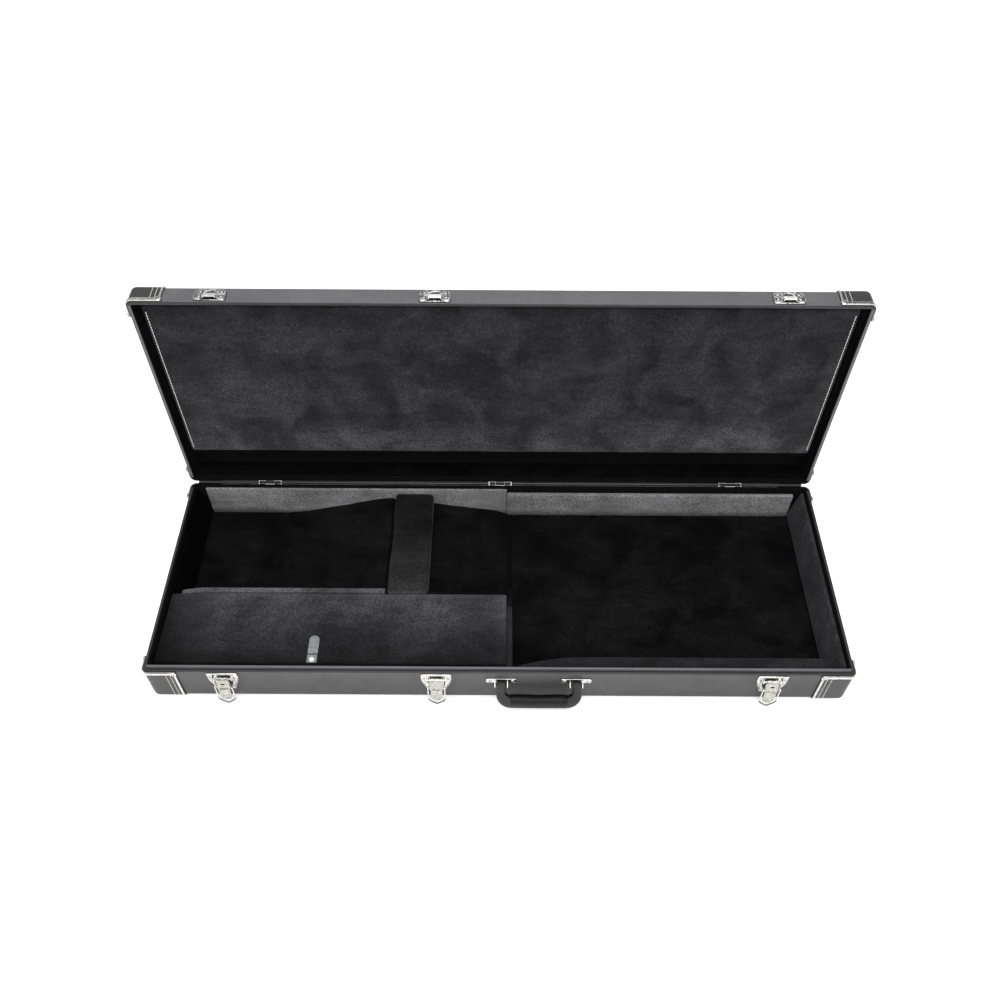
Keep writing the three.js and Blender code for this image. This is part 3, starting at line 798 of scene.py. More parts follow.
class CASE_OT_valance(bpy.types.Operator):
    """Valance: the strip inside the base's rim that the lid closes over."""
    bl_idname = "case.valance"
    bl_label = "Valance"

    def execute(self, context):
        low, high = (corner[2] for corner in node_box("base_valance"))
        outer = node_box("base_valance")[1][0] - HALF_LENGTH
        thick = 3.5
        top = arc((outer - thick / 2, high - thick / 2), thick / 2, 0, 180, 8).tolist()
        profile = [(outer, low)] + top + [(outer - thick, low)]
        # Only the front keeps the pale binding, as a painted highlight; the sides and rear take the
        # near-black cloth as painted shade.
        add_piece("valance_strip", [rim_skin(profile, wrap=True)], [finish("binding"), finish("cloth")],
                  "base", replaces="base_valance",
                  paint=lambda middles, normals: middles[:, 1] > -170)
        self.cord()
        return {"FINISHED"}

    def cord(self):
        """Covered cord round the hinge line, between the hinges: it closes the gap behind the valance."""
        beside = [x + side * 19.5 for x in sorted(HINGE_X.values()) for side in (-1, 1)]
        edges = [12 - HALF_LENGTH] + beside + [HALF_LENGTH - 12]
        skins = []
        for start, end in zip(edges[::2], edges[1::2]):
            run = np.linspace(start, end, 40)
            path = np.column_stack([run, np.full(40, HINGE_PIN[1]), np.full(40, HINGE_PIN[2])])
            skins.append(tube(path, 3.1, 3.1, 14))
        # The cord takes the dark edge finish, which is painted shade.
        add_piece("hinge_cord", skins, finish("edge"), "base")


class CASE_OT_lid_shell(bpy.types.Operator):
    """Lid: one covered shell of four walls and a top panel."""
    bl_idname = "case.lid_shell"
    bl_label = "Lid shell"

    def execute(self, context):
        board, edge = setting("case_shell", "board"), setting("case_shell", "edge_radius")
        profile = [(offset, LID_DEPTH - height) for offset, height in shell_profile(LID_DEPTH, board, edge)]
        hinge_side = HINGE_PIN[2] + HINGE_PIN[1] - HALF_WIDTH

        def paint(middles, normals):
            # On the rim, the outer band and the far end take the dark edge finish as painted shade, and the
            # inner strip takes the pale binding as a painted highlight; the hinge-side foot and the inside
            # take the near-black cloth.
            rim = middles[:, 1] < HINGE_PIN[1] + 0.5 + RIM_BAND
            across = np.abs(middles[:, 2] - hinge_side - HALF_WIDTH) - HALF_WIDTH
            outside = np.maximum(np.abs(middles[:, 0]) - HALF_LENGTH, across)
            kinds = np.where(rim, np.where((outside > -RIM_BAND) | (middles[:, 2] > 440), 2, 1), 0)
            inner = (outside < 0.5 - board) & (normals[:, 1] < 0.5)
            foot = (middles[:, 2] < hinge_side + 8) & (normals[:, 2] > -0.3)
            return np.where(foot | (inner & ~rim), 3, kinds)
        add_piece("lid_shell", [rim_skin(profile)],
                  [finish("lid_vinyl"), finish("binding"), finish("edge"), finish("cloth")], "lid", LID,
                  replaces=("lid_frame", "lid_top_panel"), paint=paint)
        return {"FINISHED"}


# ---------- padding ----------
def pad_swell(low, high, seed, crown=1.0, faces=(0, 0, 1)):
    """Swell of a foam pad: a crown that fades to the pad's edges, and slow waves, on one facing only."""
    crown = crown * setting("case_padding", "crown")
    uneven = setting("case_padding", "unevenness")
    low, high, faces = (np.asarray(v, float) for v in (low, high, faces))
    others = [k for k in range(3) if abs(faces[k]) < 0.5]

    def swell(inner, direction):
        share = np.clip(direction @ faces, 0, 1) ** 2
        middle, half = (low + high) / 2, (high - low) / 2
        fade = np.ones(len(inner))
        for k in others:
            fade *= 1 - np.abs((inner[:, k] - middle[k]) / half[k]) ** 4
        return share * (crown * fade + uneven * wander(inner, 70, seed) * np.sqrt(fade))
    return swell


def pad(name, node, body, keys, seed, radius=3.0, crown=1.0, faces=(0, 0, 1), step=8.0, warp=None,
        place=Matrix.Identity(4), box=None, paint=None):
    """A plush pad in the place of a CAD block: a soft block with a swell, then a warp of its own."""
    low, high = node_box(node) if box is None else box
    points, quads = soft_block(low, high, radius, step, pad_swell(low, high, seed, crown, faces))
    if warp is not None:
        points = warp(points)
    finishes = [finish(key) for key in keys.split()]
    return add_piece(name, [(points, quads)], finishes, body, place, replaces=node,
                     sharp=60, paint=paint)


def lean(points, side):
    """End pads lean out: their inner face runs from the foot to the wall as it rises, in a soft bow."""
    points = points.copy()
    low, high = node_box("left_end_pad" if side < 0 else "right_end_pad")
    rise = np.clip((points[:, 2] - low[2]) / (high[2] - low[2]), 0, 1)
    thick = high[0] - low[0]
    wall = low[0] if side < 0 else high[0]
    depth = (points[:, 0] - wall) * -side / thick
    narrow = 1 - 0.62 * rise ** 1.8
    across = np.abs(points[:, 1]) / HALF_WIDTH
    narrow *= 1 - 0.45 * smooth_step(across, 0.86, 0.96) * rise
    if side < 0:
        beside = 1 - smooth_step(points[:, 1], -37, -30)
        narrow *= 1 - 0.8 * beside
        points[:, 2] -= 12 * beside * smooth_step(points[:, 2], 40, high[2])
    points[:, 0] = wall - side * np.abs(depth) * thick * narrow
    return points


def ramp_outline():
    """Side view of the neck ramp: floor level at the body well, up to the shelf and the stop behind it."""
    low, high = node_box("neck_ramp")
    foot, shelf, stop = low[2], high[2] - 14.3, high[2]
    points = [(low[0], foot), (high[0], foot), (high[0] - 22, foot + 8.2), (-50, 26), (-111, shelf),
              (-179, shelf), (-181, stop), (-190, stop), (low[0] + 30, foot + 3)]
    return softened(points, 9, 6)


class CASE_OT_well_padding(bpy.types.Operator):
    """Padding of the base: floors, ends, rear pads, bolster, neck ramp and neck rest."""
    bl_idname = "case.well_padding"
    bl_label = "Well padding"

    def execute(self, context):
        # The floors take the near-black well plush as painted shade.
        pad("neck_floor_plush", "neck_floor_pad", "base", "plush_deep", 1, radius=2, crown=0.3, step=12)
        pad("body_floor_plush", "body_floor_pad", "base", "plush_deep", 2, radius=2, crown=0.5, step=10)
        # The left end pad takes the plush in painted shade, the right one a paler copy as painted light.
        for side, place in ((-1, "left"), (1, "right")):
            pad(f"{place}_end_plush", f"{place}_end_pad", "base",
                "plush_in_painted_shade" if side < 0 else "plush_end", 3 + side, radius=3.4, crown=0.8,
                faces=(-side, 0, 0), step=7, warp=lambda p, s=side: lean(p, s))
        # The rear pads take a pale copy of the plush as painted light where the pile faces the lamps,
        # painted darker at the foot as shade.
        pad("rear_neck_plush", "rear_neck_pad", "base", "plush_wall", 7, radius=1.9, crown=0.6,
            faces=(0, -1, 0), step=7)
        pad("rear_body_plush", "rear_body_pad", "base", "plush_wall", 8, radius=3.0, crown=1.0,
            faces=(0, -1, 0), step=7)
        self.bolster()
        self.ramp()
        self.rest()
        return {"FINISHED"}

    def bolster(self):
        """Foam roll along the front wall, tapering away towards the compartment, let into the end pad."""
        low, high = node_box("front_bolster")
        high = high + (12, 0, 0)

        def taper(points):
            points = points.copy()
            along = np.clip((points[:, 0] - low[0]) / 108, 0, 1)
            width = 0.2 + 0.8 * np.sin(along * math.pi / 2) ** 0.85
            points[:, 1] = low[1] + (points[:, 1] - low[1]) * width
            back = np.clip((points[:, 1] - low[1]) / (high[1] - low[1]), 0, 1)
            points[:, 2] -= 3.0 * back ** 2 * smooth_step(points[:, 2], 40, 62)
            return points
        # The bolster takes a darker copy of the plush as painted shade.
        pad("front_bolster_plush", "front_bolster", "base", "plush_front", 9, radius=5, crown=0.6,
            faces=(0, 0, 1), step=6, warp=taper, box=(low, high))

    def ramp(self):
        """The ramp's side view carried across the neck section, its long edges rounded."""
        low, high = node_box("neck_ramp")
        outline = ramp_outline()[::-1]
        points, faces = slab(outline, -high[1], -low[1], edge=3)
        # The ramp takes the near-black well plush as painted shade.
        add_piece("neck_ramp_plush", [(points, faces)], finish("plush_deep"), "base", UPRIGHT,
                  replaces="neck_ramp", sharp=60)

    def rest(self):
        """Neck cradle: a block with rounded ends, and a saddle let into its top."""
        low, high = node_box("neck_rest")
        low = low - (0, 10.4, 0)
        high = high + (0, 0, 0.9)

        def saddle(points):
            points = points.copy()
            y = points[:, 1]
            drop = 12 * smooth_step(y, 34, 60) * (1 - smooth_step(y, 100, 126))
            share = np.clip((points[:, 2] - low[2] - 6) / (high[2] - low[2] - 6), 0, 1)
            points[:, 2] -= drop * share
            return points
        # Its plush is painted darker towards the rear as shade, with a painted highlight along the front
        # end.
        pad("neck_rest_plush", "neck_rest", "base", "plush_rest", 10, radius=6.5, crown=0.4,
            faces=(0, 0, 1), step=5, warp=saddle, box=(low, high))


class CASE_OT_compartment(bpy.types.Operator):
    """Accessory compartment: its walls, the ledge that its lid rests on and the fabric hinge."""
    bl_idname = "case.compartment"
    bl_label = "Accessory compartment"

    def execute(self, context):
        low, high = node_box("compartment_rear_wall")

        def droop(points):
            points = points.copy()
            fall = self.fall(points[:, 0], low[0]) + 6 * smooth_step(points[:, 0], -184, -172)
            points[:, 2] -= fall * smooth_step(points[:, 2], 30, 60)
            return points
        # Only the upward faces of its left end take the paler partition plush, as painted light; the rest
        # takes the near-black well plush, as painted shade.
        pad("compartment_rear_plush", "compartment_rear_wall", "base", "plush_edge plush_deep", 11,
            radius=4.2, crown=0.3, step=6, warp=droop,
            paint=lambda m, n: (m[:, 0] > -178) | (n[:, 2] < 0.2))
        # The end wall's front part takes the darker bolster plush, and its rear part the near-black well
        # plush, as painted shade.
        pad("compartment_end_plush", "compartment_end_wall", "base", "plush_front plush_deep", 12,
            radius=3.2, crown=0.3, step=6, paint=lambda m, n: m[:, 1] > -60)
        pad("compartment_ledge_plush", "compartment_front_ledge", "base", "plush_front", 13, radius=3,
            crown=0.2)
        low, high = node_box("compartment_hinge_tape")
        run = np.linspace(low[0], -180, 60)
        rings = [[(x, low[1], z), (x, high[1] - 1, z), (x, high[1] - 1, z + 0.7), (x, low[1], z + 0.7)]
                 for x, z in zip(run, low[2] - self.fall(run, low[0]))]
        # The strip takes the paler partition plush as painted light.
        add_piece("compartment_hinge_strip", [skin(rings)], finish("plush_edge"),
                  "base", replaces="compartment_hinge_tape")
        return {"FINISHED"}

    def fall(self, x, start):
        """How far the partition's top curves down towards the end wall."""
        return 7 * (1 - np.sin(np.clip((x - start) / 44, 0, 1) * math.pi / 2))


class CASE_OT_compartment_lid(bpy.types.Operator):
    """Compartment lid: a plush covered board, lifted by a riveted leather tab."""
    bl_idname = "case.compartment_lid"
    bl_label = "Compartment lid"

    def execute(self, context):
        low, high = node_box("compartment_lid")
        low = low - (13.5, 0, 0)

        def sag(points):
            points = points.copy()
            end = 1 - np.sin(np.clip((points[:, 0] - low[0]) / 46, 0, 1) * math.pi / 2)
            points[:, 2] -= 2.2 * end * (points[:, 1] - low[1]) / (high[1] - low[1])
            return points
        # Its plush is painted paler at the back and darker towards the front and the left end, as painted
        # light and shade.
        pad("compartment_lid_plush", "compartment_lid", "compartment_lid", "plush_cover", 14, radius=2.4,
            crown=0.9, step=6, warp=sag, box=(low, high))
        self.tab()
        return {"FINISHED"}

    def tab(self):
        """Tab: a riveted foot, and a free tongue with a round end that rises from its fold."""
        low, high = node_box("tab_rivet")
        middle, half = (low[0] + high[0]) / 2, (high[0] - low[0]) / 2
        foot = softened([(low[0], low[1]), (high[0], low[1]), (high[0], high[1]), (low[0], high[1])], 1.2)
        rivet_y = low[1] + 5.2
        skins = [slab(foot, low[2] - 0.1, low[2] + 1.6, 0.2) + (0,),
                 dome((middle, rivet_y, low[2] + 1.5), 4.4, 1.7) + (1,)]
        add_piece("tab_foot", skins, [finish("leather"), finish("thread")], "compartment_lid",
                  replaces="tab_rivet")
        fold = pin("pull_tab_fold")
        low, high = node_box("pull_tab")
        straight = high[1] - half
        outline = np.concatenate([[(-half, low[1]), (half, low[1])],
                                  np.array(arc((0, straight), half, 0, 180, 14))])
        tongue = slab(outline, 0, 1.6, 0.25)
        points = tongue[0].copy()
        points[:, 0] += middle
        points[:, 2] += fold[2] - 0.8
        add_piece("pull_tab_tongue", [(points, tongue[1])], finish("leather"), "pull_tab",
                  replaces="pull_tab")


class CASE_OT_lid_padding(bpy.types.Operator):
    """Lid padding: the lining of its walls, the padded panel and the white thread along its ends."""
    bl_idname = "case.lid_padding"
    bl_label = "Lid padding"

    def execute(self, context):
        board = setting("case_shell", "board")
        outer, inner, low, high = -board - 0.3, -board - 7.3, 8.0, LID_DEPTH - board - 0.3
        nose = arc(((outer + inner) / 2, low + 3.5), 3.5, 0, -180, 8).tolist()
        profile = [(outer, high)] + nose + [(inner, high)]
        # The lining takes the near-black plush as painted shade.
        add_piece("lid_wall_plush", [rim_skin(profile, wrap=True)], finish("plush_dark"), "lid", LID,
                  replaces="lid_wall_lining", sharp=60)
        self.panel()
        return {"FINISHED"}

    def panel(self):
        """The panel's face is level, then falls away in a short slope above its hinge-side edge."""
        half_x = node_box("lid_pad")[1][0]
        low = np.array([-half_x, -(HALF_WIDTH - 13.3), 11.0])
        high = np.array([half_x, HALF_WIDTH - 49.3, LID_DEPTH - 5.3])

        def slope(points):
            points = points.copy()
            points[:, 2] += 5 * smooth_step(points[:, 1], 118, 131) * (points[:, 2] < 20)
            return points
        # Faces below 141.5 mm, on the slope to the hinge side, take the near-black lining plush as painted
        # shade; the panel's plush above is painted with gradients of light and shade.
        pad("lid_panel_plush", "lid_pad", "lid", "plush_lid plush_dark", 20, radius=5, crown=0.8,
            faces=(0, 0, -1), step=8, warp=slope, place=LID, box=(low, high),
            paint=lambda middles, normals: middles[:, 2] < 141.5)
        skins = []
        for side in (-1, 1):
            y = np.linspace(-160, 119, 60)
            path = np.column_stack([np.full(60, side * (half_x - 5.4)), y, np.full(60, 10.9)])
            skins += stitch_row(path, np.tile([0, 0, -1.0], (60, 1)), 4.6, 0.5, 0.75)
        add_piece("lid_panel_thread", skins, finish("thread"), "lid", LID, sharp=80)


# ---------- latches ----------
def plate_outline(width, height, radius, centre=(0, 0)):
    """A plate with rounded corners."""
    return rounded_rectangle(width / 2, height / 2, radius, 4) + np.asarray(centre)


def latch_plate(place):
    """Backplate: full width at the rim, drawn in by two curves to the foot, with a rolled top lip,
    a spring slot under it, two ears that carry the pin, and two screws."""
    right = [(22.5, 69), (22.5, 55), (20.8, 47), (16.9, 37), (14.2, 30), (13.6, 27.5), (11.5, 26.5)]
    outline = softened([(-x, z) for x, z in right] + [(x, z) for x, z in right[::-1]], 3, 3)
    wall = at(LATCH_X[place], -HALF_WIDTH, 0) @ UPRIGHT
    add_piece(f"latch_backplate_{place}", [slab(outline, 0.3, 1.8, 0.35)],
              finish("chrome"), "base", wall, replaces=f"latch_plate_{place}",
              holes=[slab(plate_outline(16.5, 2.6, 1.1, (0, 62.4)), -0.5, 4, 0.1, 1)])
    path = np.column_stack([np.linspace(-22.3, 22.3, 24), np.full(24, 66.6), np.full(24, 1.5)])
    # The second skin, a near-black slab a little larger than the plate, paints a shadow line round it.
    skins = [tube(path, 2.2, 1.15, 14, power=2.6) + (0,),
             slab(grown(outline, 0.5), 0.05, 0.28, 0.05, 1) + (1,)]
    for side in (-1, 1):
        ear = softened([(0.3, 56.5), (5.5, 57.2), (9, 59.2), (9, 65.2), (5.5, 65.9), (0.3, 65.9)], 2.2, 3)
        points, faces = slab(ear, side * 14.4 - 0.7, side * 14.4 + 0.7, 0.3)
        skins.append((points[:, [2, 1, 0]], faces, 0))
        flange = [(side * 21.5, 57, 1.4), (side * 19.9, 47.5, 1.6), (side * 16.1, 37.5, 1.6),
                  (side * 13.6, 30.5, 1.5), (side * 13.0, 28, 1.3)]
        curve = bent_path(flange, 20)
        skins.append(tube(curve, 0.9, 0.9, 8) + (0,))
        skins += screw(side * 18.3, 59.0, 1.75, setting("case_hardware", "screw_radius") * 0.85)
    axle = pin(f"latch_lever_{place}_pivot")
    axle_z, axle_out = axle[2], -axle[1] - HALF_WIDTH
    rod = lathe([(1.15, -15.6), (1.15, 15.6)], (0, 0, 0), "X", 12)
    skins.append((rod[0] + (0, axle_z, axle_out), rod[1], 0))
    for side in (-1, 1):
        head = dome((0, 0, 0), 1.9, 0.9, "X", 12)
        skins.append((head[0] * (side, 1, 1) + (side * 15.0, axle_z, axle_out), head[1], 0))
    # Near-black strips beside the lever paint shade on the plate.
    for side in (-1, 1):
        gap = softened([(side * 11.2, 57.5), (side * 13.6, 57.0), (side * 12.6, 43), (side * 11.2, 40)],
                       0.5, 2)
        skins.append(slab(gap[::-side], 1.7, 2.0, 0.1, 1) + (1,))
    add_piece(f"latch_ears_{place}", skins, [finish("chrome"), finish("recess")], "base", wall)
    # A near-black plate behind the spring slot paints the shade inside it.
    slot = plate_outline(16.2, 2.4, 1.0, (0, 62.4))
    add_piece(f"latch_slot_{place}", [slab(slot, 0.2, 0.8, 0.1, 1)], finish("recess"), "base", wall)


def bent_path(points, count):
    """A smooth path through points: a Catmull-Rom curve, evenly divided between them."""
    p = np.asarray(points, float)
    p = np.concatenate([[2 * p[0] - p[1]], p, [2 * p[-1] - p[-2]]])
    t = np.linspace(0, len(p) - 3 - 1e-9, count)
    k = t.astype(int)
    u = (t - k)[:, None]
    a, b, c, d = p[k], p[k + 1], p[k + 2], p[k + 3]
    return 0.5 * (2 * b + (c - a) * u + (2 * a - 5 * b + 4 * c - d) * u ** 2
                  + (3 * b - a - 3 * c + d) * u ** 3)


def latch_lever(place):
    """Lever: a flat folded part under the pin, then a crowned tongue with a round end."""
    lean_angle = JOINTS[f"latch_lever_{place}_pivot"]["range_deg"][0]
    frame_place = at(*pin(f"latch_lever_{place}_pivot")) @ turn_x(lean_angle) @ UPRIGHT
    down = np.concatenate([np.linspace(-0.6, -17.5, 6), np.linspace(-19, -23, 5), np.linspace(-26, -40, 7),
                           -40 - 8 * np.sin(np.radians(np.linspace(12, 90, 10)))])
    share = np.clip((-40 - down) / 8.1, 0, 1)
    half = (10.3 - 1.6 * smooth_step(-down, 17, 23)) * np.sqrt(np.clip(1 - share ** 2.4, 0.0009, 1))
    across = np.sin(np.linspace(-math.pi / 2, math.pi / 2, 15))
    rings = []
    for z, w in zip(down, half):
        spoon = smooth_step(-z, 18.5, 21)
        crown = (0.35 + 1.35 * spoon) * (1 - across ** 2) * min(1, w / 6)
        crown += spoon * (0.5 + 0.8 * math.sin(math.pi * min((-z - 19) / 29, 1)))
        top = np.column_stack([w * across[::-1], np.full(15, z), 2.9 + crown[::-1]])
        bottom = np.column_stack([0.97 * w * across[1:-1], np.full(13, z), np.full(13, 1.75)])
        rings.append(np.concatenate([top, bottom]))
    angles = np.linspace(0, 2 * math.pi, 20, endpoint=False)
    round_one = np.column_stack([np.cos(angles), np.sin(angles)])
    holes = []
    if place != "middle":
        holes.append(slab(round_one * (3.3, 1.8) + (0, -9.5), 0.5, 9, 0.1, 1))
    aside = -3.6 if place == "right" else 3.6
    holes.append(slab(round_one * (0.9, 1.7) + (aside, -42.5), 0.5, 9, 0.1, 1))
    body = f"latch_lever_{place}"
    add_piece(f"lever_{place}", [skin(rings)], [finish("dim_plate")], body, frame_place,
              replaces=f"latch_lever_{place}", holes=holes, sharp=38)
    skins = []
    knuckle = lathe([(2.3, -9.4), (2.65, -9.0), (2.65, 9.0), (2.3, 9.4)], (0, 0, 0), "X", 20)
    skins.append(knuckle + (0,))
    for side in (-1, 1):
        flange = softened([(1.7, -1), (1.7, -19), (3.6, -19), (5.1, -16), (5.1, -3.5), (4, -1)], 1.2, 3)
        points, faces = slab(flange[::-1], side * 10.25 - 0.55, side * 10.25 + 0.55, 0.25)
        skins.append((points[:, [2, 1, 0]], faces, 0))
        stub = lathe([(1.2, 10), (1.2, 13.0), (0.9, 13.4)], (0, 0, 0), "X", 12)
        skins.append((stub[0] * (side, 1, 1) + (0, -BAIL_DOWN, BAIL_OUT), stub[1], 0))
    for step in range(2):
        rib = np.column_stack([np.linspace(-7, 7, 12), np.full(12, -23.5 - 2.6 * step), np.full(12, 5.2)])
        rib[:, 2] += 0.1 - 0.9 * (rib[:, 0] / 8) ** 2
        skins.append(tube(rib, 0.45, 0.35, 6) + (0,))
    # A near-black plate under the lever paints the shade seen through its holes and at its sides.
    backing = plate_outline(13, 40, 2, (0, -25))
    skins.append(slab(backing, 1.2, 1.7, 0.15, 1) + (1,))
    add_piece(f"lever_fittings_{place}", skins, [finish("dim_plate"), finish("recess")], body, frame_place)


def latch_bail(place):
    """Bail: a wire loop with an eye on each side, its far end drawn to a blunt point."""
    lean_angle = JOINTS[f"latch_lever_{place}_pivot"]["range_deg"][0]
    frame_place = at(*pin(f"latch_bail_{place}_pivot")) @ turn_x(lean_angle) @ UPRIGHT
    side = [(12.45, -1.5), (12.45, -27), (12.1, -30), (11.0, -32.4), (9.4, -34.2), (0.9, -40.4), (0, -40.8)]
    points = np.array(side + [(-x, z) for x, z in side[-2::-1]])
    steps = np.concatenate([[0], np.cumsum(np.linalg.norm(np.diff(points, axis=0), axis=1))])
    even = np.linspace(0, steps[-1], 120)
    path = np.column_stack([np.interp(even, steps, points[:, 0]), np.interp(even, steps, points[:, 1]),
                            np.zeros(120)])
    skins = [tube(path, 1.05, 0.9, 10, power=2.6)]
    for sign in (-1, 1):
        eye = lathe([(2.5, 11.4), (2.8, 11.6), (2.8, 12.9), (2.5, 13.1)], (0, 0, 0), "X", 18)
        skins.append((eye[0] * (sign, 1, 1), eye[1]))
    # Below 20 mm the bail takes the darker wire finish, as a painted reflection.
    add_piece(f"bail_{place}", skins, [finish("chrome"), finish("wire")], f"latch_bail_{place}",
              frame_place, replaces=f"latch_bail_{place}",
              paint=lambda middles, normals: middles[:, 2] < 20)


class CASE_OT_latches(bpy.types.Operator):
    """Draw latches: backplate with ears and slot, lever and bail."""
    bl_idname = "case.latches"
    bl_label = "Latches"

    def execute(self, context):
        for place in LATCH_X:
            latch_plate(place)
            latch_lever(place)
            latch_bail(place)
        return {"FINISHED"}


class CASE_OT_strikes(bpy.types.Operator):
    """Strikes on the lid: a plate with turned-up sides, a half-dome hood and a rolled hook bar."""
    bl_idname = "case.strikes"
    bl_label = "Strikes"

    def execute(self, context):
        for place, x in LATCH_X.items():
            self.strike(place, LID @ at(x, -HALF_WIDTH, 0) @ UPRIGHT)
        return {"FINISHED"}

    def strike(self, place, wall):
        right = [(21.5, 3.5), (22.5, 7), (21.3, 24.6), (17, 27.4), (8, 28.8)]
        outline = softened([(-21.5, 3.5)] + right + [(-x, z) for x, z in right[:0:-1]], 2, 3)
        slot = slab(plate_outline(20.5, 2.6, 1.0, (0, 5.9)), -0.5, 4, 0.1, 1)
        add_piece(f"strike_plate_{place}", [slab(outline, 0.3, 1.8, 0.35)],
                  finish("dark_mirror"), "lid", wall,
                  replaces=f"lid_strike_{place}", holes=[slot])
        across = np.linspace(-1, 1, 15)
        hood = []
        for t in np.radians(np.linspace(0, 86, 9)):
            w, h, rise = 8.2 * math.cos(t), 1.6 * math.cos(t) ** 0.7, 8.4 * math.sin(t)
            hood.append(np.column_stack([w * across, np.full(15, 15.4 + rise),
                                         1.0 + h * np.sqrt(1 - across ** 2)]))
        # The hood takes the dark grey finish as painted shade, and a near-black slab a little larger than
        # the plate paints a shadow line round it.
        skins = [skin(hood) + (2,), slab(grown(outline, 0.5), 0.05, 0.28, 0.05, 1) + (1,)]
        sweep = np.radians(np.linspace(-4, 184, 34))
        arch = np.column_stack([8.8 * np.cos(sweep), 15.4 + 9.0 * np.sin(sweep), np.full(34, 2.2)])
        skins.append(tube(arch, 0.85, 1.0, 8) + (0,))
        for rise, out, radius in ((8.8, 4.9, 1.6), (11.9, 4.4, 1.35), (14.7, 3.8, 1.25)):
            bar = np.column_stack([np.linspace(-8.6, 8.6, 16), np.full(16, rise), np.full(16, out)])
            skins.append(tube(bar, radius, radius, 12, power=2.4) + (0,))
        for side in (-1, 1):
            leg = plate_outline(1.6, 9.5, 0.7, (side * 8.3, 11.2))
            skins.append(slab(leg, 0.8, 4.6, 0.3) + (0,))
            edge = bent_path([(side * 21.8, 5.5, 1.7), (side * 21.3, 15, 2.3), (side * 20.5, 24, 1.8)], 14)
            skins.append(tube(edge, 0.7, 1.0, 8) + (0,))
            tab = plate_outline(8.4, 4.4, 1.5, (side * 16.3, 6.2))
            skins.append(slab(tab, 1.4, 2.9, 0.6) + (0,))
            # Near-black rings round the screws paint shade.
            ring = 0.5 * math.pi * np.linspace(0, 4, 25)[:-1]
            for rise, x in ((12.6, 15.6), (22.4, 14.9)):
                dish = np.column_stack([side * x + 3.1 * np.cos(ring), rise + 2.7 * np.sin(ring),
                                        np.full(24, 1.8)])
                skins.append(tube(dish, 0.45, 0.35, 6, closed=True) + (1,))
                skins += screw(side * x, rise, 1.75, setting("case_hardware", "screw_radius") * 0.95)
        # A near-black plate behind the hook bar's slot paints the shade inside it.
        backing = plate_outline(20, 2.4, 0.9, (0, 5.9))
        skins.append(slab(backing, 0.1, 0.7, 0.1, 1) + (1,))
        add_piece(f"strike_hook_{place}", skins, [finish("chrome"), finish("recess"), finish("shade")],
                  "lid", wall)


# ---------- handle ----------
def handle_path(half, reach, bend, count=90):
    """Centre line of the grip: straight down, a quarter bend, across and back, evenly divided."""
    corner = [(half, 0.5), (half, -6), (half, bend - reach)]
    sweep = np.linspace(0, 1, 14)[1:, None]
    a, b, c = (np.array(p, float) for p in ((half, bend - reach), (half, -reach), (half - bend, -reach)))
    curve = (1 - sweep) ** 2 * a + 2 * sweep * (1 - sweep) * b + sweep ** 2 * c
    side = np.concatenate([corner, curve])
    points = np.concatenate([side, side[::-1] * (-1, 1)])
    steps = np.concatenate([[0], np.cumsum(np.linalg.norm(np.diff(points, axis=0), axis=1))])
    even = np.linspace(0, steps[-1], count)
    return np.column_stack([np.interp(even, steps, points[:, k]) for k in (0, 1)] + [np.zeros(count)]), even


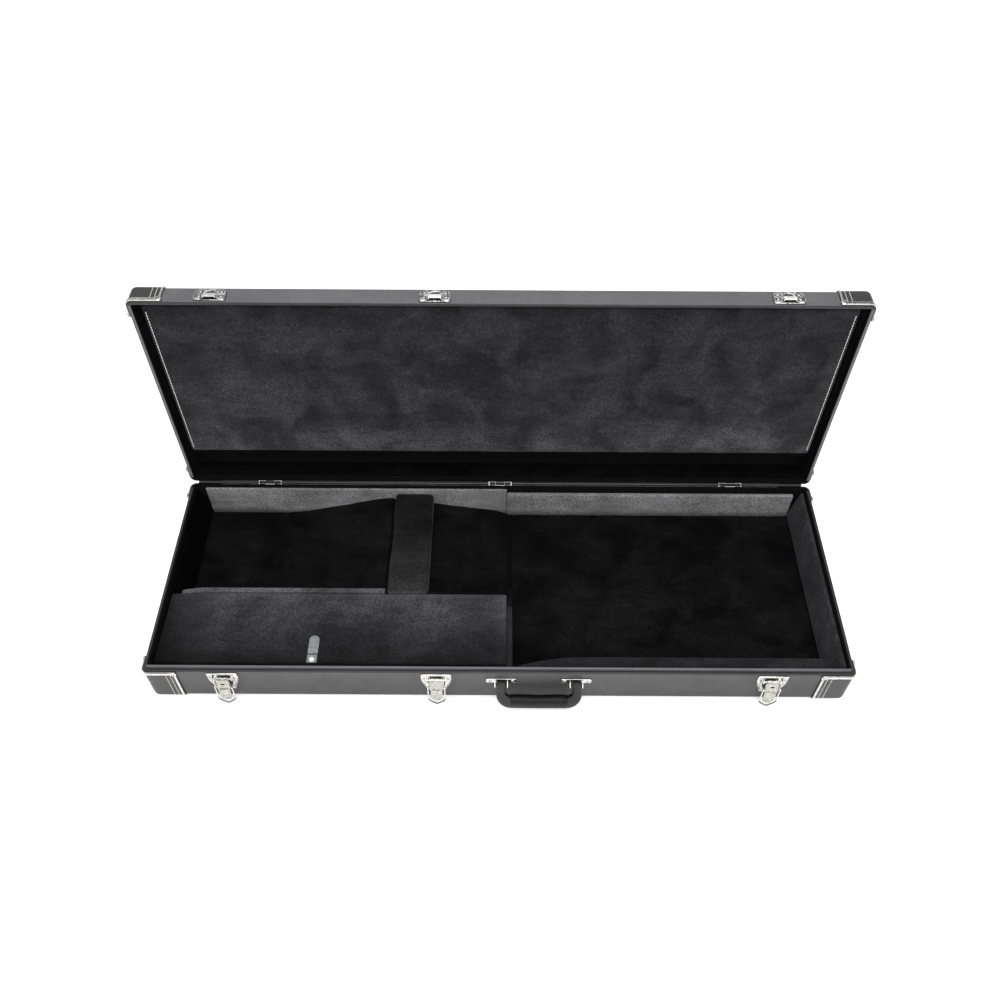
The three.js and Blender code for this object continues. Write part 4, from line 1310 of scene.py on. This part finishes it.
class CASE_OT_handle(bpy.types.Operator):
    """Handle: two plated brackets with prongs, and a moulded leatherette grip that hangs between them."""
    bl_idname = "case.handle"
    bl_label = "Handle"

    def execute(self, context):
        centre = pin("handle_pivot")
        for side, place in ((-1, "left"), (1, "right")):
            aside = 56.5 if side < 0 else 54.9
            self.bracket(place, at(centre[0] + side * aside, -HALF_WIDTH, 0) @ UPRIGHT, centre)
        self.grip(centre)
        return {"FINISHED"}

    def bracket(self, place, wall, centre):
        """A stamped bar with two screws and a window filled with painted shade, and two prongs that hold the
        pin.
        """
        out = -centre[1] - HALF_WIDTH
        window = slab(plate_outline(15.5, 8.6, 1.2, (0, 53)), -0.5, 4, 0.1, 1)
        bar = plate_outline(45, 10, 1.6, (0, 53))
        add_piece(f"bracket_bar_{place}", [slab(bar, 0.3, 1.8, 0.4)], finish("chrome"), "base", wall,
                  replaces=f"handle_bracket_{place}", holes=[window])
        # Near-black plates paint shade in the window and a shadow line round the bar.
        skins = [slab(plate_outline(15.2, 8.4, 1.2, (0, 53)), 0.3, 0.8, 0.1, 1) + (1,),
                 slab(grown(bar, 0.5), 0.05, 0.28, 0.05, 1) + (1,)]
        for side in (-1, 1):
            prong = softened([(0.5, 50.2), (6, 50.0), (12.8, 50.6), (12.8, 52), (6, 56.2), (0.5, 57.2)],
                             0.9, 3)
            points, faces = slab(prong, side * 9.3 - 0.5, side * 9.3 + 0.5, 0.2)
            skins.append((points[:, [2, 1, 0]], faces, 0))
            head = dome((0, 0, 0), 1.5, 0.5, "X", 12)
            skins.append((head[0] * (side, 1, 1) + (side * 9.7, centre[2], out), head[1], 0))
            skins += screw(side * 16.8, 53, 1.75, setting("case_hardware", "screw_radius"))
        axle = lathe([(1.3, -9.3), (1.3, 9.3)], (0, 0, 0), "X", 12)
        skins.append((axle[0] + (0, centre[2], out), axle[1], 1))
        add_piece(f"bracket_prongs_{place}", skins, [finish("chrome"), finish("recess")], "base", wall)

    def grip(self, centre):
        """The grip's section swells from a flat strap at the ends to a deep bar with an arched top."""
        droop = -18.0
        place = at(*centre) @ turn_x(droop) @ UPRIGHT
        path, along = handle_path(56.5, 36, 20)
        total = along[-1]
        near = np.minimum(along, total - along)
        middle = smooth_step(near, 52, total / 2)
        across = 6.2 + 3.2 * smooth_step(near, 8, 34) + 1.6 * smooth_step(near, 34, 52) - 0.6 * middle
        out = 4.0 + 4.0 * smooth_step(near, 10, 40)
        frames = np.gradient(path, axis=0)
        frames /= np.linalg.norm(frames, axis=1)[:, None]
        sideways = np.cross(frames, (0, 0, 1.0))
        inward = np.sign((sideways * (np.array([0, -8, 0]) - path)).sum(axis=1))[:, None] * sideways
        path = path + inward * np.maximum(across - 8.0, 0)[:, None]
        skins = [tube(path, across, out, 28, power=2.7)]
        for side in (-1, 1):
            strap = lathe([(3.6, -6.2), (4.2, -5.6), (4.2, 5.6), (3.6, 6.2)], (0, 0, 0), "X", 20)
            skins.append((strap[0] + (side * 56.5, 0, 0), strap[1]))

        # Faces between the arms, and the arms' inner faces, take the grip's copy with painted shade.
        def paint(middles, normals):
            aside = np.abs(middles[:, 0] - centre[0])
            facing = (aside < 52) & (normals[:, 0] * np.sign(middles[:, 0] - centre[0]) < -0.6)
            return (aside < 36.5 + 0.233 * middles[:, 2]) | facing
        add_piece("grip", skins, [finish("grip"), finish("grip_in_painted_shade")], "handle", place,
                  replaces="handle_grip", sharp=50, paint=paint)
        keep = (near > 8)
        skins = []
        for sign in (-1, 1):
            seam = path + sideways * (sign * 0.70 * across)[:, None] + np.outer(out * 0.78, (0, 0, 1.0))
            seam = seam[keep]
            skins += stitch_row(seam, np.tile([0, 0, 1.0], (len(seam), 1)), 3.2, 1.2, 0.34)
        add_piece("grip_seam", skins, finish("dark_thread"), "handle", place, sharp=80)


# ---------- hinges ----------
class CASE_OT_hinges(bpy.types.Operator):
    """Butt hinges: a leaf on the base and a leaf on the lid, with rolled knuckles round one pin."""
    bl_idname = "case.hinges"
    bl_label = "Hinges"

    def execute(self, context):
        out = HINGE_PIN[1] - HALF_WIDTH
        for place, x in HINGE_X.items():
            base_wall = at(x, HALF_WIDTH, HINGE_PIN[2]) @ REARWARD
            lid_wall = LID @ at(x, HALF_WIDTH, -0.5) @ REARWARD
            skins = self.leaf(-22, -3.2)
            for side in (-1, 1):
                ear = plate_outline(10, 5.4, 0.4, (side * 13, -3))
                skins.append(slab(ear, 0.3, 1.8, 0.2) + (0,))
                skins.append(self.knuckle(side * 13, 10, out))
            axle = lathe([(1.1, -18.6), (1.1, 18.6)], (0, 0, out), "X", 12)
            skins.append(axle + (1,))
            add_piece(f"hinge_leaf_base_{place}", skins, [finish("chrome"), finish("recess")], "base",
                      base_wall, replaces=f"hinge_base_leaf_{place}")
            skins = self.leaf(3.6, 24)
            skins.append(slab(plate_outline(15.2, 4.6, 0.4, (0, 3)), 0.3, 1.8, 0.2) + (0,))
            skins.append(self.knuckle(0, 15.2, out))
            add_piece(f"hinge_leaf_lid_{place}", skins, [finish("chrome"), finish("recess")], "lid",
                      lid_wall, replaces=f"hinge_lid_leaf_{place}")
        return {"FINISHED"}

    def leaf(self, low, high):
        """A leaf with rounded corners, and two screws."""
        middle = (low + high) / 2
        skins = [slab(plate_outline(36, high - low, 2.0, (0, middle)), 0.3, 1.8, 0.3) + (0,)]
        for side in (-1, 1):
            skins += screw(side * 11.5, middle + np.sign(middle) * 1.5, 1.75,
                           setting("case_hardware", "screw_radius"))
        return skins

    def knuckle(self, x, length, out):
        """A rolled barrel, its ends slightly rounded."""
        half = length / 2 - 0.15
        profile = [(2.3, -half), (2.6, 0.4 - half), (2.6, half - 0.4), (2.3, half)]
        points, faces = lathe(profile, (0, 0, 0), "X", 20)
        return points + (x, 0, out), faces, 1


# ---------- corner guards ----------
CORNERS = {"front_left": (-1, -1), "front_right": (1, -1), "back_left": (-1, 1), "back_right": (1, 1)}
GUARD_LONG, GUARD_SHORT = 48.0, 27.0


def corner_path(offset, long, short, side_x, side_y, steps=10):
    """Plan path round one corner at an offset: along the long wall, a quarter arc, along the end wall."""
    reach_x, reach_y = HALF_LENGTH + offset, HALF_WIDTH + offset
    radius = CORNER_RADIUS + offset
    bend = arc((reach_x - radius, reach_y - radius), radius, 90, 0, steps)
    start = [[HALF_LENGTH - long, reach_y], [HALF_LENGTH - 0.6 * long, reach_y]]
    end = [[reach_x, HALF_WIDTH - 0.6 * short], [reach_x, HALF_WIDTH - short]]
    return np.concatenate([start, bend, end]) * (side_x, side_y)


def guard_skin(profile, long, short, side_x, side_y):
    """A closed profile of offset and height carried round a corner, its two ends closed flat."""
    rings = np.stack([lifted(corner_path(offset, long, short, side_x, side_y), height)
                      for offset, height in profile])
    return skin(rings.transpose(1, 0, 2))


class CASE_OT_corners(bpy.types.Operator):
    """Corner guards: a leatherette cap, a plated rail, two plated strips, rivets and stitching."""
    bl_idname = "case.corners"
    bl_label = "Corner guards"

    def execute(self, context):
        edge = setting("case_shell", "edge_radius")
        for corner, (side_x, side_y) in CORNERS.items():
            for prefix, body, place, rim, up in (("base", "base", Matrix.Identity(4), BASE_HEIGHT, -1),
                                                 ("lid", "lid", LID, 0.0, 1)):
                depth = BASE_HEIGHT if prefix == "base" else LID_DEPTH
                self.guard(prefix, corner, body, place, rim, up, depth, edge, side_x, side_y)
        return {"FINISHED"}

    def heights(self, rim, up, profile):
        """Profile heights measured from the rim, away from it, as heights of the shell."""
        return [(offset, rim + up * height) for offset, height in profile]

    def wall_profile(self, inner, outer, start, depth, edge, last):
        """Down the wall from a start and round the shell's edge to an angle, at two offsets."""
        def line(offset):
            bend = arc((-edge, depth - edge), edge + offset, 0, last, 6)
            return [(offset, start)] + bend.tolist()
        return line(outer) + line(inner)[::-1]

    def guard(self, prefix, corner, body, place, rim, up, depth, edge, side_x, side_y):
        cap = self.heights(rim, up, self.wall_profile(0.3, 1.5, 1.2, depth, edge, 56))
        add_piece(f"{prefix}_guard_{corner}", [guard_skin(cap, GUARD_LONG, GUARD_SHORT, side_x, side_y)],
                  finish("leatherette"), body, place,
                  replaces=f"{prefix}_corner_{corner}")
        rail = self.heights(rim, up, [(1.6, 7.0), (2.6, 7.1), (3.2, 6.4), (3.3, 4.0), (3.2, 2.0),
                                      (2.6, 1.2), (1.6, 1.2)])
        skins = [guard_skin(rail, GUARD_LONG + 0.6, GUARD_SHORT + 0.6, side_x, side_y) + (0,)]
        skins += self.uprights(rim, up, depth, edge, side_x, side_y)
        rivet_z = rim + up * 4.6
        for x, y, axis in ((side_x * (HALF_LENGTH - GUARD_LONG + 3.2), side_y * (HALF_WIDTH + 3.0), "Y"),
                           (side_x * (HALF_LENGTH + 3.0), side_y * (HALF_WIDTH - GUARD_SHORT + 3.2), "X")):
            head = dome((0, 0, 0), 5.0, 1.5, axis, 20)
            flip = np.array([side_x if axis == "X" else 1, side_y if axis == "Y" else 1, 1])
            skins.append((head[0] * flip + (x, y, rivet_z), head[1], 0))
            # A near-black ring round each rivet head paints the shade at its foot.
            turn = np.linspace(0, 2 * math.pi, 25)[:-1]
            flat, level = 2.3 * np.cos(turn), np.full(24, 1.3)
            ring = (np.column_stack([flat, level, 2.3 * np.sin(turn)]) if axis == "Y"
                    else np.column_stack([level, flat, 2.3 * np.sin(turn)]))
            normal = (0.0, 1.0, 0.0) if axis == "Y" else (1.0, 0.0, 0.0)
            groove = tube(ring, 0.5, 0.3, 6, closed=True, normal=normal)
            skins.append((groove[0] * flip + (x, y, rivet_z), groove[1], 1))
        add_piece(f"{prefix}_trim_{corner}", skins, [finish("chrome"), finish("recess")], body, place,
                  replaces=f"{prefix}_corner_trim_{corner}")
        self.stitching(prefix, corner, body, place, rim, up, depth, edge, side_x, side_y)

    def wall_line(self, start, depth, edge, last, offset, steps=8):
        """Points down the wall and round its edge, as offset and height, and their outward directions."""
        bend = arc((-edge, depth - edge), edge + offset, 0, last, steps)
        line = np.concatenate([[(offset, start)], [(offset, (start + depth - edge) / 2)], bend])
        out = np.concatenate([[(1, 0), (1, 0)], arc((0, 0), 1, 0, last, steps)])
        return line, out

    def on_long(self, line, x, side_y, rim, up):
        """A wall line at a place along the long wall, as points in space."""
        out = side_y * (HALF_WIDTH + line[:, 0])
        return np.column_stack([np.full(len(line), x), out, rim + up * line[:, 1]])

    def on_short(self, line, y, side_x, rim, up):
        """A wall line at a place along the end wall."""
        out = side_x * (HALF_LENGTH + line[:, 0])
        return np.column_stack([out, np.full(len(line), y), rim + up * line[:, 1]])

    def uprights(self, rim, up, depth, edge, side_x, side_y):
        """The plated strips: a shallow rounded section carried down the wall and round the edge."""
        skins = []
        line, out = self.wall_line(5.5, depth, edge, 46, 1.5)
        section = [(-1.8, 0.0), (-1.8, 0.7), (-1.2, 1.3), (0.0, 1.5), (1.2, 1.3), (1.8, 0.7), (1.8, 0.0)]
        for long_wall in (True, False):
            rings = []
            for across, height in section:
                spot = line + out * height
                if long_wall:
                    x = side_x * (HALF_LENGTH - GUARD_LONG + 2.3 + across)
                    rings.append(self.on_long(spot, x, side_y, rim, up))
                else:
                    y = side_y * (HALF_WIDTH - GUARD_SHORT + 2.3 + across)
                    rings.append(self.on_short(spot, y, side_x, rim, up))
            skins.append(skin(np.stack(rings).transpose(1, 0, 2)) + (0,))
        return skins

    def stitching(self, prefix, corner, body, place, rim, up, depth, edge, side_x, side_y):
        """Two rows of thread beside each strip."""
        line, out = self.wall_line(8.5, depth, edge, 44, 1.55)
        dense = np.linspace(0, 1, 30)
        steps = np.concatenate([[0], np.cumsum(np.linalg.norm(np.diff(line, axis=0), axis=1))])
        steps /= steps[-1]
        line, out = (np.column_stack([np.interp(dense, steps, v[:, k]) for k in (0, 1)])
                     for v in (line, out))
        length = setting("case_hardware", "stitch_length")
        skins = []
        for distance in (8.9, 15.6):
            x = side_x * (HALF_LENGTH - GUARD_LONG + distance)
            direction = np.column_stack([np.zeros(30), side_y * out[:, 0], up * out[:, 1]])
            skins += stitch_row(self.on_long(line, x, side_y, rim, up), direction, length, 0.9, 0.55)
        for distance in (8.9, 15.6):
            y = side_y * (HALF_WIDTH - GUARD_SHORT + distance)
            direction = np.column_stack([side_x * out[:, 0], np.zeros(30), up * out[:, 1]])
            skins += stitch_row(self.on_short(line, y, side_x, rim, up), direction, length, 0.9, 0.55)
        add_piece(f"{prefix}_stitching_{corner}", skins, finish("thread"), body, place, sharp=80)


# ---------- stage ----------
CAMERA_PLACE = (0.785, -906.83, 1291.32)
CAMERA_DOWN, CAMERA_YAW, CAMERA_ROLL = 52.635, 0.009, -0.321
# Focal length as a share of the picture's width, and how far the picture's middle lies off the axis.
FOCAL_SHARE, SHIFT_UP = 0.9571, 0.0602


class CASE_OT_stage(bpy.types.Operator):
    """Stage: plain floor, soft lights and the camera."""
    bl_idname = "case.stage"
    bl_label = "Stage"

    def execute(self, context):
        self.floor()
        self.lights()
        self.camera()
        return {"FINISHED"}

    def floor(self):
        settings = bpy.context.scene.case_stage
        size = 9.0
        mesh = bpy.data.meshes.new("floor")
        mesh.from_pydata([(-size, -size, -0.001), (size, -size, -0.001), (size, size, -0.001),
                          (-size, size, -0.001)], [], [(0, 1, 2, 3)])
        floor = bpy.data.objects.new("floor", mesh)
        bpy.context.scene.collection.objects.link(floor)
        material, _, shader, _ = new_material("matt_white_paper", Roughness=0.9)
        shader.inputs["Base Color"].default_value = settings.floor_colour
        shader.inputs["Specular IOR Level"].default_value = 0.0
        shader.inputs["Emission Color"].default_value = (1, 1, 1, 1)
        shader.inputs["Emission Strength"].default_value = 0.4
        mesh.materials.append(material)

    def lights(self):
        key = bpy.context.scene.case_stage.key_power
        self.softbox("key_softbox", (0.2, -2.2, 2.6), (0, 0.0, 0.1), 2.6, key)
        self.softbox("top_softbox", (0.0, 0.4, 3.2), (0, 0.0, 0.1), 3.0, 0.8 * key)
        world = bpy.data.worlds.new("pale_studio")
        world.use_nodes = True
        tree = world.node_tree
        way = add_node(tree, "ShaderNodeTexCoord").outputs["Generated"]
        flags = add_node(tree, "ShaderNodeTexNoise", None, {"Scale": 2.4, "Detail": 1.0}, {"Vector": way})
        pale = between(tree, flags.outputs["Fac"], (0.1, 0.1, 0.11, 1), (1, 1, 1, 1), 0.4, 0.48)
        tree.links.new(pale, tree.nodes["Background"].inputs["Color"])
        tree.nodes["Background"].inputs["Strength"].default_value = 0.85
        bpy.context.scene.world = world
        bpy.context.scene.view_settings.view_transform = "Standard"

    def softbox(self, name, place, target, size, power):
        light = bpy.data.lights.new(name, "AREA")
        light.shape, light.size, light.energy = "SQUARE", size, power
        lamp = bpy.data.objects.new(name, light)
        lamp.location = place
        lamp.rotation_euler = (Vector(target) - Vector(place)).to_track_quat("-Z", "Y").to_euler()
        bpy.context.scene.collection.objects.link(lamp)

    def camera(self):
        data = bpy.data.cameras.new("view")
        data.sensor_width = 36.0
        data.lens = 36.0 * FOCAL_SHARE
        data.shift_y = SHIFT_UP
        data.clip_start, data.clip_end = 0.05, 50.0
        camera = bpy.data.objects.new("view", data)
        camera.location = Vector(CAMERA_PLACE) * MM
        turn = (Matrix.Rotation(math.radians(CAMERA_YAW), 3, "Z")
                @ Matrix.Rotation(math.radians(90 - CAMERA_DOWN), 3, "X")
                @ Matrix.Rotation(math.radians(-CAMERA_ROLL), 3, "Z"))
        camera.rotation_euler = turn.to_euler()
        bpy.context.scene.collection.objects.link(camera)
        bpy.context.scene.camera = camera


# ---------- add-on ----------
GROUPS = {"case_shell": CaseShellSettings, "case_padding": CasePaddingSettings,
          "case_hardware": CaseHardwareSettings, "case_stage": CaseStageSettings}
OPERATORS = (CASE_OT_base_shell, CASE_OT_valance, CASE_OT_lid_shell, CASE_OT_well_padding,
             CASE_OT_compartment, CASE_OT_compartment_lid, CASE_OT_lid_padding, CASE_OT_latches,
             CASE_OT_strikes, CASE_OT_handle, CASE_OT_hinges, CASE_OT_corners, CASE_OT_stage)


class CASE_PT_panel(bpy.types.Panel):
    """Buttons and settings of the case."""
    bl_idname = "CASE_PT_panel"
    bl_label = "Guitar case"
    bl_space_type = "VIEW_3D"
    bl_region_type = "UI"
    bl_category = "Case"

    def draw(self, context):
        for name, group in GROUPS.items():
            for key in group.__annotations__:
                self.layout.prop(getattr(context.scene, name), key)
        for operator in OPERATORS:
            self.layout.operator(operator.bl_idname)


CLASSES = (*GROUPS.values(), *OPERATORS, CASE_PT_panel)


def register():
    for cls in CLASSES:
        bpy.utils.register_class(cls)
    for name, group in GROUPS.items():
        setattr(bpy.types.Scene, name, bpy.props.PointerProperty(type=group))


def unregister():
    for name in GROUPS:
        delattr(bpy.types.Scene, name)
    for cls in reversed(CLASSES):
        bpy.utils.unregister_class(cls)


def main():
    """Builds every piece in order."""
    register()
    for operator in OPERATORS:
        family, name = operator.bl_idname.split(".")
        getattr(getattr(bpy.ops, family), name)()


if __name__ == "__main__":
    main()
